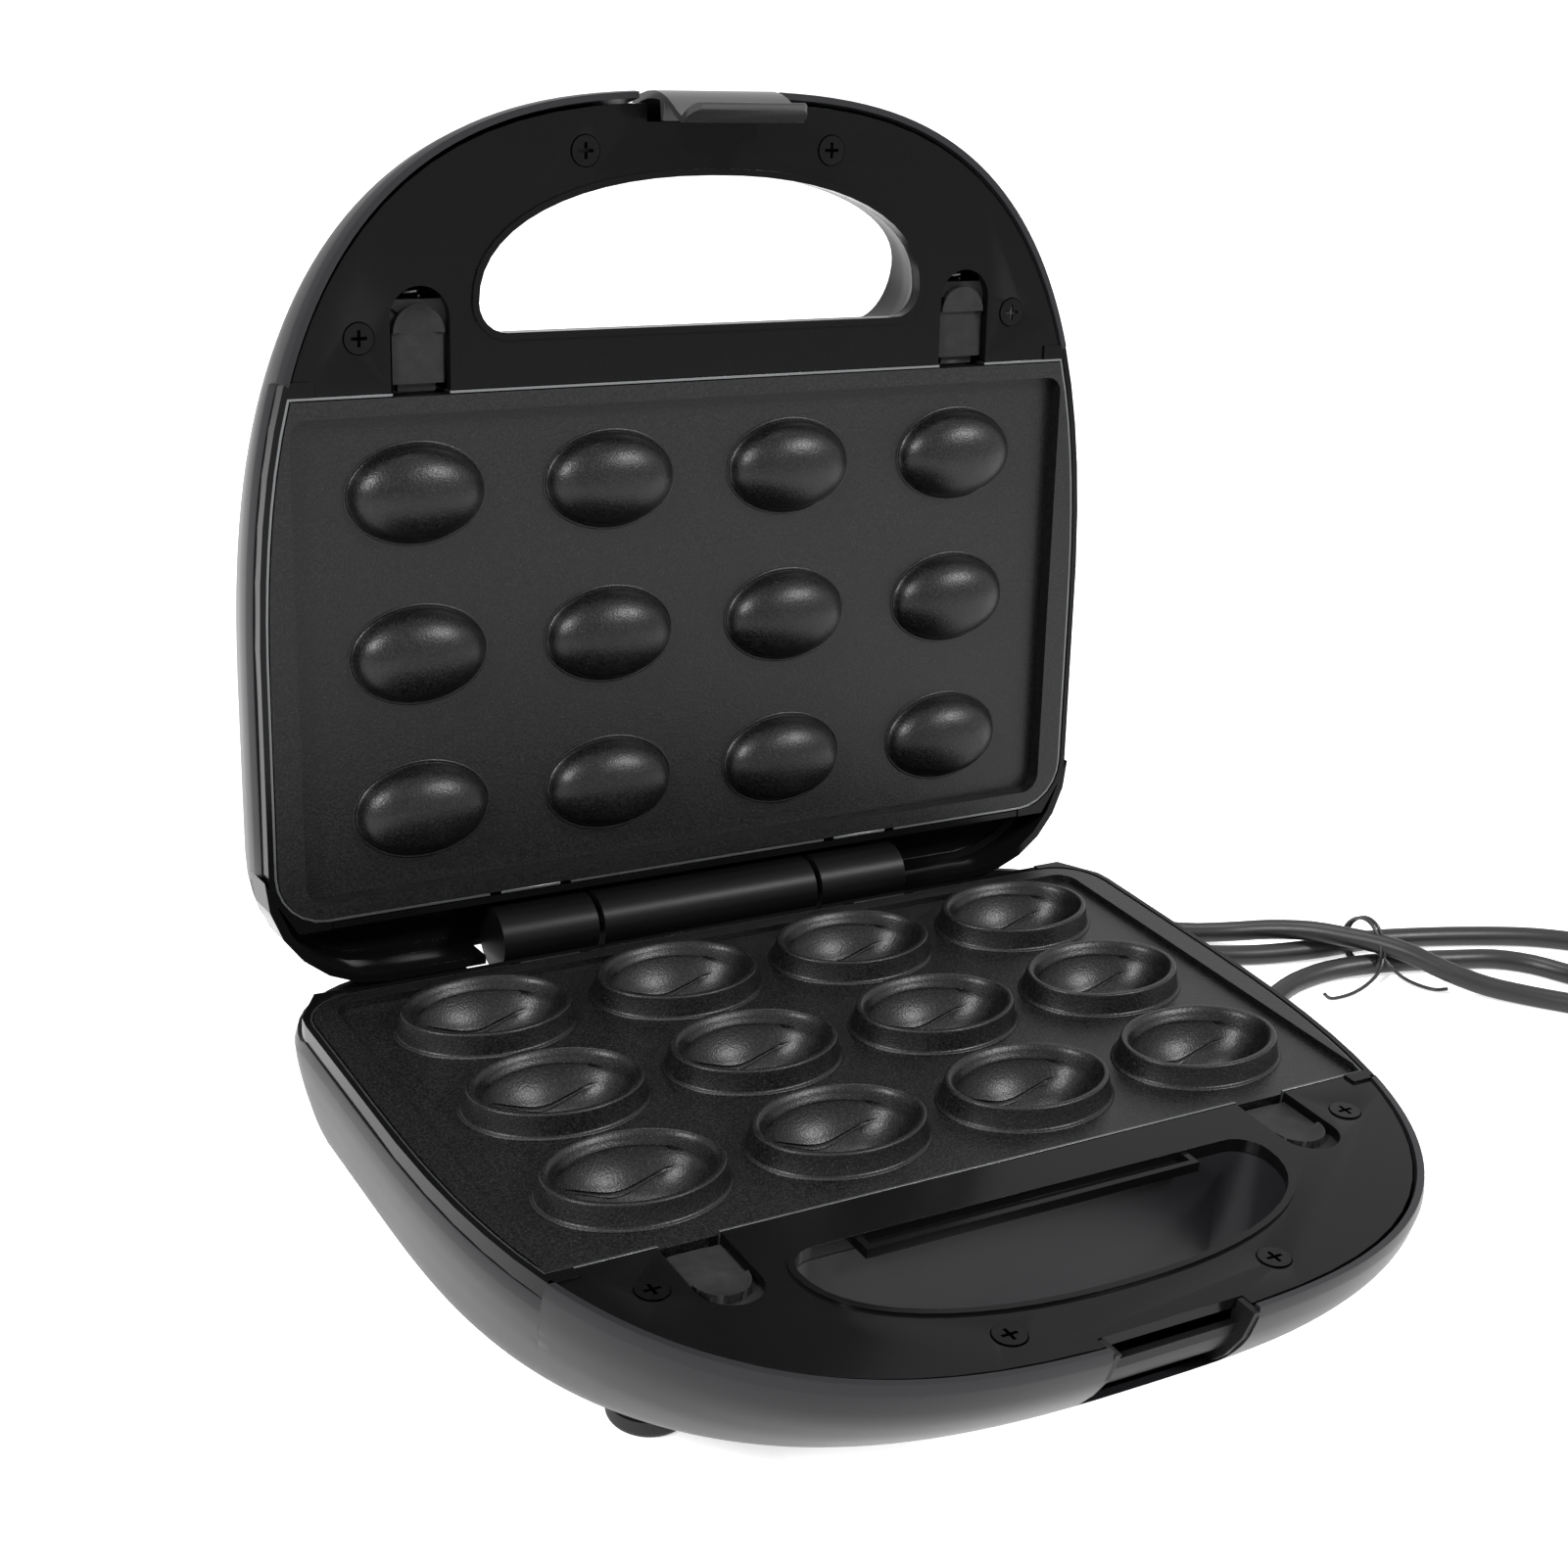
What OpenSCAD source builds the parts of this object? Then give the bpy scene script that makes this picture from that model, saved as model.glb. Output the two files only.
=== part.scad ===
// Countertop nut cake maker: two hinged halves, shaped non-stick plates, open at its stop.
// The origin is on the table under the middle of the cooking plates, +Z up, front at -Y.

/* [Body] */
// Height of the plane where the two halves meet
part_z = 43; // [41:1:46]
// Half of the body's greatest width
body_hw = 116; // [115:0.5:120]
// Distance from the plate centre to the front of the body
body_front = 130; // [128:1:136]
// Distance from the rear edge of the plates to the rear wall
rear_room = 18.5; // [17.5:0.5:20.5]
// Radius of the rear corners seen from above
rear_corner_r = 30; // [24:1:34]
// Depth of the lid above the meeting plane
lid_depth = 40; // [38:1:46]
// Squareness of the front outline, where 2 is an ellipse
front_square = 2.95; // [2.7:0.05:3.1]
// Wall thickness of the two outer housings
skin_t = 2.2; // [1.8:0.1:2.4]
// Drop of the housing's edge along the two sides
side_drop = 4.5; // [3:0.1:6]
// Gap left between the two halves when they are closed
half_gap = 0.4; // [0.3:0.1:0.6]
// Angle to which the lid opens
open_deg = 95.5; // [85:0.5:98]

/* [Hinge] */
// Distance from the rear edge of the plates to the hinge axis
hinge_back = 12.5; // [11.5:0.5:13.5]
// Height of the hinge axis above the meeting plane
hinge_up = 1; // [0.5:0.5:2]
// Outer radius of the hinge barrel
barrel_r = 8; // [7:0.5:8.5]
// Half of the length of the whole barrel
barrel_half = 58.5; // [54:0.5:60]
// Half of the length of the lid's middle barrel
barrel_mid = 31; // [26:0.5:34]
// Gap between the middle barrel and each knuckle
knuckle_gap = 1.6; // [1:0.1:3]
// Radius of the hollow hinge pins
pin_r = 3; // [2.5:0.25:3.5]
// Radial running clearance of the pins in the middle barrel
pin_fit = 0.05; // [0.02:0.01:0.1]
// Radius of the wire passage through the pins
pin_bore_r = 1.6; // [1.2:0.1:1.8]

/* [Plates] */
// Distance from the side of the body to the edge of the cooking plates
plate_inset = 3.4; // [3:0.1:5]
// Half of the depth of the cooking plates
plate_hd = 61.5; // [60:0.5:62]
// Thickness of the cooking plates
plate_t = 3; // [2.5:0.1:3.5]
// Radius of the rear corners of the plates
plate_corner_r = 12; // [8:1:16]
// Width of the rail along the two sides of a plate
side_rail = 6.6; // [6:0.1:12]
// Width of the rail along the front and rear of a plate
rail_w = 4; // [3:0.5:5]
// Depth of the lower plate's field below the meeting plane
low_field = 2; // [1.5:0.1:2.5]
// Height of the upper plate's field above the meeting plane
up_field = 4; // [3.8:0.1:5]
// Distance between cups along the plate
cup_pitch_x = 50; // [48:0.5:52]
// Distance between cups across the plate
cup_pitch_y = 38.5; // [37:0.5:39]
// Half of the length of a cup's rim
cup_a = 20.6; // [19:0.1:21]
// Half of the width of a cup's rim
cup_b = 14.5; // [13:0.1:14.6]
// Height of a cup's rim above the meeting plane
cup_rim = 3.5; // [3:0.1:3.5]
// Depth of a cup below its rim
cup_depth = 13.5; // [12:0.5:14]
// Half of the length of a dome on the upper plate
dome_a = 16.6; // [15:0.1:17]
// Half of the width of a dome on the upper plate
dome_b = 11.2; // [10:0.1:11.6]
// Height of a dome on the upper plate
dome_h = 8; // [6:0.5:8.5]

/* [Handle] */
// Half of the width of the finger opening
slot_hw = 60; // [56:1:60]
// Distance from the plate centre to the rear edge of the finger opening
slot_rear = 75; // [74:0.5:77]
// Depth of the finger opening from rear to front
slot_deep = 35; // [30:1:36]
// Corner radius at the rear of the finger opening
slot_corner = 7; // [5:0.5:9]
// Wall thickness around the finger opening
slot_wall = 2; // [1.6:0.1:2.2]
// Height of the bead around the finger opening
bead_h = 0.6; // [0.4:0.1:0.8]
// Half of the length of the stepped ledge behind the base's finger opening
ledge_half = 42; // [30:1:46]
// Overhang of that ledge into the finger opening
ledge_over = 4.5; // [3:0.5:5]

/* [Latches] */
// Distance from the middle to each plate latch
latch_x = 74.3; // [73:0.1:76]
// Width of a plate latch's tab
latch_w = 12.5; // [11:0.1:13]
// Travel of a plate latch
latch_travel = 4; // [3:0.1:4.2]
// Clearance beside a plate latch
latch_gap = 1; // [0.8:0.1:1.2]
// Mean radius of a latch spring's coil
latch_spring_r = 2.2; // [1.8:0.1:2.4]

/* [Closing clip] */
// Width of the closing clip
clip_w = 32; // [28:1:32]
// Distance from the plate centre to the clip's pivot
clip_y = 116; // [115.5:0.1:116.5]
// Height of the clip's pivot above the meeting plane
clip_up = 16; // [15:0.5:17]
// Radius of the clip's pivot pin
clip_pin_r = 1.25; // [1:0.05:1.4]
// Length of the clip below the meeting plane when it is closed
clip_reach = 19; // [17.5:0.5:20]

/* [Screws and feet] */
// Radius of the cover screws' heads
head_r = 3.5; // [3:0.1:3.8]
// Radius of the cover screws' shanks
shank_r = 1.5; // [1.2:0.1:1.7]
// Length of the cover screws
screw_len = 14; // [12:1:15]
// Radius of a rubber foot
foot_r = 9; // [7:0.5:10]
// Height of the feet below the housing
foot_h = 4.5; // [4:0.5:6]
// Distance from the middle to each foot
foot_x = 80; // [74:1:84]
// Distance from the plate centre to the front and rear feet
foot_y = 60; // [50:1:60]

/* [Cord] */
// Diameter of the power cord
cord_d = 6; // [5:0.5:7]
// Distance from the middle to the cord's exit
cord_x = 70; // [60:1:74]
// Height of the cord's exit above the table
cord_z = 20; // [18:1:22]

/* [Hidden] */
$fn = 48;
fn_blend = 32;
eps = 0.01;
face = half_gap / 2;
body_rear = plate_hd + rear_room;
hinge_y = plate_hd + hinge_back;
field_hl = body_hw - plate_inset - side_rail;
low_depth = part_z - foot_h;
hinge_z = part_z + hinge_up;
outline_front = 42;
outline_corner = 6;
outline_mid_y = 20;
cup_cols = 4;
cup_rows = 3;
cup_sides = 20;

// Each level of the housings: distance from the outside, side inset, front inset, share of the floor
shell_levels = [
    [30, 0, 2.5, 0.1], [23.5, 1, 6.5, 0.15], [17.5, 2.5, 12, 0.3], [9.5, 5, 22, 0.5],
    [4.5, 7.5, 32, 0.8], [1.5, 12, 42, 1], [0, 19, 50, 1]
];

// Deck of the two inner covers
deck_top = 0.8;
deck_t = 2.4;
deck_low = deck_top + deck_t;
cover_fit = 0.3;
cover_inset = skin_t + cover_fit;
band_inset = 1;
rear_deck = 9.5;
lid_rear_deck = 11;
rear_deck_t = 2;
rear_wall_y = plate_hd + 1.2;
rear_wall_t = 1.6;
corner_cut_x = body_hw - 8;
corner_cut_y = plate_hd - 11.5;
handle_y = plate_hd + 4.5;
window_front = plate_hd + 1;
cover_front = cover_inset + 0.9;

// Sheet-metal trays behind the plates
tray_t = 0.6;
tray_gap = 0.25;
tray_grow = tray_gap + tray_t;
tray_hd = plate_hd + tray_grow;
tray_box = body_hw - 12;
tray_edge = 0.6;
tray_floor = cup_depth - cup_rim + plate_t + 2;
upper_tray_floor = 16;

// Heating elements
heater_r = 3.25;
heater_y = cup_pitch_y / 2;
heater_bend_x = tray_box - 25;
heater_end_x = 6 - tray_box;
heater_gap = 0.1;
heater_pin_r = 1.2;
low_heater_u = low_field + plate_t + heater_r + heater_gap;
up_heater_u = up_field + plate_t + heater_r + heater_gap;
clamp_xs = [-50, 0, 50];
clamp_w = 8;
clip_x = 48;

// Fasteners
side_screw_x = body_hw - 27;
side_screw_y = plate_hd + 13.5;
front_screw_y = body_front - 14.3;
cover_screws = [
    [-side_screw_x, -side_screw_y], [-33, -front_screw_y], [33, -front_screw_y], [side_screw_x, -side_screw_y]
];
post_x = tray_box - 7;
post_y = plate_hd - 11.5;
tray_posts = [[-post_x, -post_y], [post_x, -post_y], [-post_x, post_y], [post_x, post_y]];
post_r = 4;
tray_screw_len = 8;
tray_screw_head = 3;
tray_screw_r = 1.4;

// Places that follow the values above
clip_barrel_r = 2.6;
clip_pin_fit = 0.05;
recess_hw = clip_w / 2 + 0.4;
recess_wall = 1.5;
recess_depth = 19;
catch_y = 123.6;
clip_face = 126.4;
clip_pin_half = 22;
clip_lip_r = 4;
lug_top = 5.9;
latch_low = 5.6;
arch_y = plate_hd + 17.5;
thumb_y = -plate_hd - 14.1;
latch_spring_y = plate_hd + 21.5;
latch_spring_u = 6.9;
latch_rib_y = plate_hd + 32.5;
knuckle_screw_xs = [40, 52];
knuckle_x0 = barrel_mid + knuckle_gap;
pin_end = barrel_half - 2;
barrel_screw_xs = [-18, 18];
small_screw_r = 1.2;
small_head_r = 2.6;
small_head_h = 1.8;
small_thread = 5;
bracket_hw = 8;
bracket_deep = 12;
foot_stem_r = 3;
terminal_y = body_rear - 36;
terminal_xs = [36, 46, 56];
gland_y0 = hinge_y;
gland_len = 32;
gland_fit = 0.03;
gland_neck_r = 5;
cord_r = cord_d / 2;
lamp_xs = [-12, 12];
lamp_y = -40;
lens_r = 3.5;

// Outlines seen from above
function power_of(v, e) = sign(v) * pow(abs(v), e);

function arc_points(cx, cy, r, a0, a1, steps) =
    [for (i = [0:steps]) let (a = a0 + (a1 - a0) * i / steps) [cx + r * cos(a), cy + r * sin(a)]];

function front_curve(a, b, cy, e, steps) =
    [for (i = [1:steps - 1]) let (t = 180 + 180 * i / steps)
        [a * power_of(cos(t), 2 / e), cy + b * power_of(sin(t), 2 / e)]];

function body_outline(side, front, rear) =
    let (a = body_hw - side, b = body_front + outline_mid_y - front, r = rear_corner_r - min(side, rear))
    concat(
        [[a, outline_mid_y]],
        arc_points(a - r, body_rear - rear - r, r, 0, 90, outline_corner),
        arc_points(r - a, body_rear - rear - r, r, 90, 180, outline_corner),
        [[-a, outline_mid_y]],
        front_curve(a, b, outline_mid_y, front_square, outline_front)
    );

// Plate outline: it bows with the body's sides and has round rear corners
function plate_points(grow) =
    let (
        a = body_hw - plate_inset + grow, b = body_front + outline_mid_y - plate_inset + grow,
        d = plate_hd + grow, r = plate_corner_r + grow, steps = 10,
        side = [for (i = [0:steps]) let (y = outline_mid_y - (outline_mid_y + d) * i / steps)
            [a * pow(1 - pow((outline_mid_y - y) / b, front_square), 1 / front_square), y]]
    )
    concat(
        [for (i = [steps:-1:0]) side[i]],
        arc_points(a - r, d - r, r, 0, 90, outline_corner),
        arc_points(r - a, d - r, r, 90, 180, outline_corner),
        [for (i = [0:steps]) [-side[i][0], side[i][1]]]
    );

function slot_outline(grow) =
    let (c = slot_rear + slot_corner)
    concat(
        arc_points(slot_hw - slot_corner, -c, slot_corner + grow, 0, 90, outline_corner),
        arc_points(slot_corner - slot_hw, -c, slot_corner + grow, 90, 180, outline_corner),
        front_curve(slot_hw + grow, slot_deep - slot_corner + grow, -c, 2.2, 28)
    );

// Closed body through a stack of rings that have as many points each
module ring_body(rings) {
    n = len(rings[0]);
    last = len(rings) - 1;
    sides = [for (i = [0:last - 1], k = [0:n - 1])
        let (a = i * n + k, b = i * n + (k + 1) % n) each [[a, a + n, b + n], [a, b + n, b]]];
    caps = [[for (k = [0:n - 1]) k], [for (k = [0:n - 1]) last * n + n - 1 - k]];
    polyhedron([for (ring = rings) each ring], concat(sides, caps), convexity = 8);
}

function at_height(points, h) = [for (p = points) [p[0], p[1], h]];

function shell_rings(depth, t, start) = concat(
    [at_height(body_outline(t, t, t), start)],
    [for (v = shell_levels)
        at_height(body_outline(v[1] + t, v[2] + t, v[1] + t), depth - v[0] - t * v[3])]
);

// Placement of a half that is drawn with +Z pointing away from the meeting plane
module in_base() translate([0, 0, part_z]) mirror([0, 0, 1]) children();

module closed_lid() translate([0, 0, part_z]) children();

module in_lid()
    translate([0, hinge_y, hinge_z]) rotate([-open_deg, 0, 0]) translate([0, -hinge_y, -hinge_z])
        closed_lid() children();

module along_x(len_x) rotate([90, 0, 90]) linear_extrude(len_x, center = true) children();

module x_cylinder(r, x0, x1) translate([x0, 0, 0]) rotate([0, 90, 0]) cylinder(r = r, h = x1 - x0);

module y_cylinder(r, y0, y1) translate([0, y0, 0]) rotate([-90, 0, 0]) cylinder(r = r, h = y1 - y0);

module block(x0, x1, y0, y1, z0, z1) translate([x0, y0, z0]) cube([x1 - x0, y1 - y0, z1 - z0]);

// Spring wound along Z as one closed tube
module helix_spring(r, wire, length, turns) {
    per_turn = 10;
    steps = turns * per_turn;
    sides = 5;
    ring_body([for (i = [0:steps])
        let (a = 360 * i / per_turn, h = wire + (length - 2 * wire) * i / steps)
        [for (k = [0:sides - 1]) let (q = r - wire * cos(360 * k / sides))
            [q * cos(a), q * sin(a), h + wire * sin(360 * k / sides)]]]);
}

// Housings
module housing_shell(depth, rear_edge) {
    difference() {
        union() {
            difference() {
                ring_body(shell_rings(depth, 0, face));
                ring_body(shell_rings(depth, skin_t, -1));
            }
            intersection() {
                translate([0, 0, deck_low + cover_fit])
                    linear_extrude(depth - deck_low - cover_fit) polygon(slot_outline(slot_wall));
                ring_body(shell_rings(depth, skin_t / 2, -1));
            }
            intersection() {
                housing_posts(depth);
                ring_body(shell_rings(depth, skin_t / 2, -1));
            }
        }
        translate([0, 0, -1]) linear_extrude(depth + 2) polygon(slot_outline(0));
        block(-body_hw - 1, body_hw + 1, -handle_y, body_rear + 1, -1, side_drop);
        translate([0, 0, -1]) linear_extrude(rear_edge + 1) rear_zone(0);
        housing_bores(depth);
    }
}

// Area behind the plates, with its front corners cut off
module rear_zone(back) {
    slope = (rear_wall_y - corner_cut_y) / (body_hw - corner_cut_x);
    y = rear_wall_y + back;
    polygon([
        [corner_cut_x, y], [corner_cut_x + 20, y - 20 * slope], [corner_cut_x + 20, body_rear + 2],
        [-corner_cut_x - 20, body_rear + 2], [-corner_cut_x - 20, y - 20 * slope], [-corner_cut_x, y]
    ]);
}

module housing_posts(depth) {
    for (p = cover_screws)
        translate([p[0], p[1], deck_low + cover_fit]) cylinder(r = post_r, h = depth);
    for (p = tray_posts)
        translate([p[0], p[1], tray_seat(depth)]) cylinder(r = post_r, h = depth);
}

function tray_seat(depth) = (depth == lid_depth ? upper_tray_floor : tray_floor) + tray_t;

module housing_bores(depth) {
    for (p = cover_screws) translate([p[0], p[1], 0]) cylinder(r = shank_r, h = screw_len + 1);
    for (p = tray_posts)
        translate([p[0], p[1], tray_seat(depth) - 1]) cylinder(r = tray_screw_r, h = tray_screw_len + 1);
}

// Opening for the clip in the front wall
module recess_cut() block(-recess_hw - recess_wall - 0.1, recess_hw + recess_wall + 0.1,
    -body_front - 1, -slot_rear - slot_deep - slot_wall - 1, -2, recess_depth);

module lower_housing() color("#4b4c4f") in_base() difference() {
    union() {
        housing_shell(low_depth, rear_deck);
        for (x = [-foot_x, foot_x], y = [-foot_y, foot_y])
            translate([x, y, low_depth - 6]) cylinder(r = foot_r - 0.8, h = 6);
    }
    recess_cut();
    for (x = [-foot_x, foot_x], y = [-foot_y, foot_y])
        translate([x, y, low_depth - 7]) cylinder(r = foot_stem_r + 0.03, h = 8);
    translate([cord_x, 0, part_z - cord_z]) y_cylinder(gland_neck_r + gland_fit, body_rear - 12, body_rear + 2);
}

module upper_housing() color("#4b4c4f") in_lid() difference() {
    union() {
        housing_shell(lid_depth, lid_rear_deck);
        for (side = [-1, 1]) translate([side * 21, 0, 0])
            block(-1.5, 1.5, -clip_y - 6, -clip_y + 3, clip_up - 3.2, clip_up + 3.2);
    }
    translate([0, -clip_y, clip_up]) x_cylinder(clip_pin_r, -clip_pin_half, clip_pin_half);
    block(-clip_w / 2 - 3.5, clip_w / 2 + 3.5, -body_front - 1, -clip_y + 4, -1, clip_up + 6);
    for (x = lamp_xs) translate([x, lamp_y, lid_depth - 5]) cylinder(r = lens_r, h = 8);
}

// Inner covers
module arch_cut() {
    w = latch_w / 2 + latch_gap;
    translate([0, 0, -1]) linear_extrude(deck_low + 2) union() {
        translate([-w, -arch_y]) square([2 * w, arch_y - window_front + 1]);
        translate([0, -arch_y]) circle(r = w);
    }
}

module screw_seats() for (p = cover_screws) translate([p[0], p[1], 0]) {
    translate([0, 0, deck_top - eps]) cylinder(r1 = head_r + 0.3, r2 = shank_r + 0.2, h = 2);
    translate([0, 0, -1]) cylinder(r = head_r + 0.3, h = deck_top + 1);
    cylinder(r = shank_r + 0.2, h = deck_low + 1);
}

module cover_body(deck) {
    difference() {
        union() {
            translate([0, 0, deck_top]) linear_extrude(deck_t) intersection() {
                polygon(body_outline(cover_inset, cover_front, cover_inset));
                translate([-body_hw, -body_front - 1]) square([2 * body_hw, body_front + 1 - window_front]);
            }
            translate([0, 0, face]) linear_extrude(side_drop - face) side_strip();
            translate([0, 0, face]) linear_extrude(deck_top + deck_t - face) bead_ring();
            translate([0, 0, face + 0.4]) linear_extrude(deck - face - 0.4) rear_wall(band_inset);
            translate([0, 0, deck - 1]) linear_extrude(2) rear_wall(cover_inset + 1);
            translate([0, 0, deck]) linear_extrude(rear_deck_t) intersection() {
                polygon(body_outline(cover_inset + 1, cover_inset + 1, cover_inset + 1));
                rear_zone(0);
            }
        }
        translate([0, 0, -1]) linear_extrude(deck_low + 2) polygon(slot_outline(0));
        for (side = [-1, 1]) translate([side * latch_x, 0, 0]) arch_cut();
        screw_seats();
    }
    for (side = [-1, 1]) latch_ribs(side);
}

// Narrow wall between the plate's tray and the side of the housing
module side_strip() difference() {
    intersection() {
        difference() {
            polygon(body_outline(band_inset, band_inset, band_inset));
            polygon(plate_points(tray_grow + 0.1));
        }
        translate([-body_hw, 0.1 - handle_y]) square([2 * body_hw, 2 * handle_y]);
    }
    translate([4 - tray_box, -handle_y]) square([2 * tray_box - 8, 2 * handle_y]);
    rear_zone(rear_wall_t);
}

// Wall along the rear of the tray, bent forward at both ends
module rear_wall(inset) intersection() {
    polygon(body_outline(inset, inset, inset));
    difference() {
        rear_zone(0);
        rear_zone(rear_wall_t);
    }
}

module bead_ring() difference() {
    polygon(slot_outline(1.6));
    polygon(slot_outline(0));
}

// Rib that the latch spring presses on
module latch_ribs(side) translate([side * latch_x, 0, deck_low - eps]) {
    block(-5, 5, -latch_rib_y - 1.8, -latch_rib_y, 0, 7);
}

module lower_cover() color("#101011") in_base() difference() {
    union() {
        cover_body(rear_deck);
        ledge();
    }
    block(-recess_hw - recess_wall - 0.1, recess_hw + recess_wall + 0.1, -body_front, -catch_y, -1, 12);
    for (x = knuckle_screw_xs, side = [-1, 1])
        translate([side * x, hinge_y, rear_deck - 1]) cylinder(r = small_screw_r + 0.1, h = 4);
}

// Stepped ledge with a channel, along the rear edge of the finger opening
module ledge() {
    y = -slot_rear;
    block(-ledge_half, ledge_half, y - ledge_over, y + 1, deck_top + 1.6, deck_low);
    block(-ledge_half, ledge_half, y - ledge_over, y - ledge_over + 1.4, deck_top, deck_low);
    for (side = [-1, 1])
        block(side * ledge_half - 0.8, side * ledge_half + 0.8, y - ledge_over, y + 1, deck_top, deck_low);
}

// Black rim that closes the lid's rear corners
module rear_rim(outer, inner) intersection() {
    difference() {
        polygon(body_outline(outer, outer, outer));
        polygon(body_outline(inner, inner, inner));
    }
    rear_zone(0.1);
}

module upper_cover() color("#101011") in_lid() difference() {
    union() {
        cover_body(lid_rear_deck);
        translate([0, 0, face]) linear_extrude(lid_rear_deck - face) rear_rim(0, skin_t);
        translate([0, 0, lid_rear_deck - 1]) linear_extrude(1) rear_rim(0, cover_inset + 2);
        translate([0, 0, lid_rear_deck - 1]) linear_extrude(2) rear_rim(cover_inset + 1, cover_inset + 2);
    }
    block(-barrel_half - 2, barrel_half + 2, body_rear - 8, body_rear + 1, -1, lid_rear_deck);
    block(-clip_w / 2 - 1.2, clip_w / 2 + 1.2, -body_front, -clip_y - 6.2, -1, deck_low + 1);
    block(-slot_hw + 18, slot_hw - 18, -slot_rear - 2, -slot_rear, -1, deck_top + 0.9);
    for (x = barrel_screw_xs) translate([x, hinge_y, lid_rear_deck - 1]) cylinder(r = small_screw_r + 0.1, h = 4);
}

// Cooking plates
module plate_sheet(field, rail_front) {
    translate([0, 0, field]) linear_extrude(plate_t) polygon(plate_points(0));
    difference() {
        translate([0, 0, face + 0.1]) linear_extrude(field - face + 0.9) polygon(plate_points(0));
        translate([0, 0, -1]) linear_extrude(field + 3) plate_field(rail_front);
    }
}

module plate_field(rail_front) {
    d = plate_hd - rail_w;
    f = rail_front ? d : plate_hd + 1;
    polygon([
        [-field_hl, -f], [field_hl, -f], [field_hl, d - 2], [field_hl - 2, d],
        [2 - field_hl, d], [-field_hl, d - 2]
    ]);
}

module at_cups() for (i = [0:cup_cols - 1], j = [0:cup_rows - 1])
    translate([(i - (cup_cols - 1) / 2) * cup_pitch_x, (j - (cup_rows - 1) / 2) * cup_pitch_y, 0]) children();

function oval(a, b, h) = [for (k = [0:cup_sides - 1]) let (t = 360 * k / cup_sides) [a * cos(t), b * sin(t), h]];

module lower_plate() color("#1b1b1c") in_base() {
    difference() {
        union() {
            plate_sheet(low_field, false);
            at_cups() cup_block();
            plate_lugs(low_field);
        }
        at_cups() cup_bowl();
    }
}

// Outside of a cup, from its rim down to its round underside
module cup_block() ring_body([
    oval(cup_a - 0.4, cup_b - 0.4, -cup_rim),
    oval(cup_a, cup_b, -cup_rim + 0.4),
    oval(cup_a + 0.4, cup_b + 0.4, low_field - 0.9),
    oval(cup_a + 1.5, cup_b + 1.5, low_field + 0.1),
    oval(cup_a - 0.1, cup_b - 0.1, low_field + plate_t + 0.1),
    oval(cup_a - 3, cup_b - 2.4, cup_depth - cup_rim - 1.4),
    oval(cup_a - 7.4, cup_b - 5.6, cup_depth - cup_rim + 1.1),
    oval(cup_a - 13, cup_b - 9.8, cup_depth - cup_rim + plate_t - 0.4)
]);

// Room inside a cup
module cup_bowl() ring_body([
    oval(cup_a - 1.3, cup_b - 1.3, -cup_rim - 0.5),
    oval(cup_a - 1.4, cup_b - 1.4, -cup_rim),
    oval(cup_a - 1.9, cup_b - 1.9, -cup_rim + 1),
    oval(cup_a - 3.2, cup_b - 2.9, -cup_rim + 4.4),
    oval(cup_a - 5.8, cup_b - 4.9, cup_depth - cup_rim - 5.2),
    oval(cup_a - 9.8, cup_b - 7.8, cup_depth - cup_rim - 2),
    oval(cup_a - 14.6, cup_b - 11, cup_depth - cup_rim - 0.4),
    oval(2, 1.2, cup_depth - cup_rim)
]);

// Ears of a plate that its latches hold
module plate_lugs(field) for (side = [-1, 1]) translate([side * latch_x, 0, 0]) {
    block(-5, 5, -plate_hd - 2.8, -plate_hd + 4, lug_top, lug_top + 2);
    block(-5, 5, -plate_hd, -plate_hd + 4, field + plate_t - 0.5, lug_top + 1.9);
}

module dome() ring_body([
    oval(2, 1.3, up_field - dome_h),
    oval(dome_a * 0.32, dome_b * 0.32, up_field - dome_h * 0.96),
    oval(dome_a * 0.58, dome_b * 0.58, up_field - dome_h * 0.82),
    oval(dome_a * 0.79, dome_b * 0.79, up_field - dome_h * 0.58),
    oval(dome_a * 0.93, dome_b * 0.93, up_field - dome_h * 0.28),
    oval(dome_a, dome_b, up_field - 0.4),
    oval(dome_a + 1, dome_b + 1, up_field + 0.05),
    oval(dome_a, dome_b, up_field + 1)
]);

module upper_plate() color("#1b1b1c") in_lid() {
    plate_sheet(up_field, true);
    at_cups() dome();
    plate_lugs(up_field);
}

// Sheet-metal trays: a bowed rim that steps down into a narrower box
module tray(field, floor_u, heater_u) {
    step_u = field + plate_t + tray_gap;
    difference() {
        union() {
            translate([0, 0, tray_edge]) linear_extrude(step_u + tray_t - tray_edge) polygon(plate_points(tray_grow));
            translate([0, 0, step_u]) linear_extrude(floor_u + tray_t - step_u) tray_box_outline(0);
        }
        translate([0, 0, tray_edge - 1]) linear_extrude(step_u - tray_edge + 1) polygon(plate_points(tray_gap));
        translate([0, 0, step_u - 1]) linear_extrude(floor_u - step_u + 1) tray_box_outline(tray_t);
        for (p = tray_posts) translate([p[0], p[1], floor_u - 1]) cylinder(r = tray_screw_r + 0.2, h = 3);
        for (side = [-1, 1]) {
            translate([side * latch_x, 0, 0]) block(-7, 7, -tray_hd - 1, 2 - tray_hd, -1, lug_top + 3);
            translate([side * clip_x, 0, 0]) block(-11, 11, tray_hd - 2, tray_hd + 1, -1, step_u + 1.2);
            translate([0, side * heater_y, heater_u]) x_cylinder(heater_pin_r + 1, -tray_box - 1, 2 - tray_box);
        }
    }
}

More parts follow.
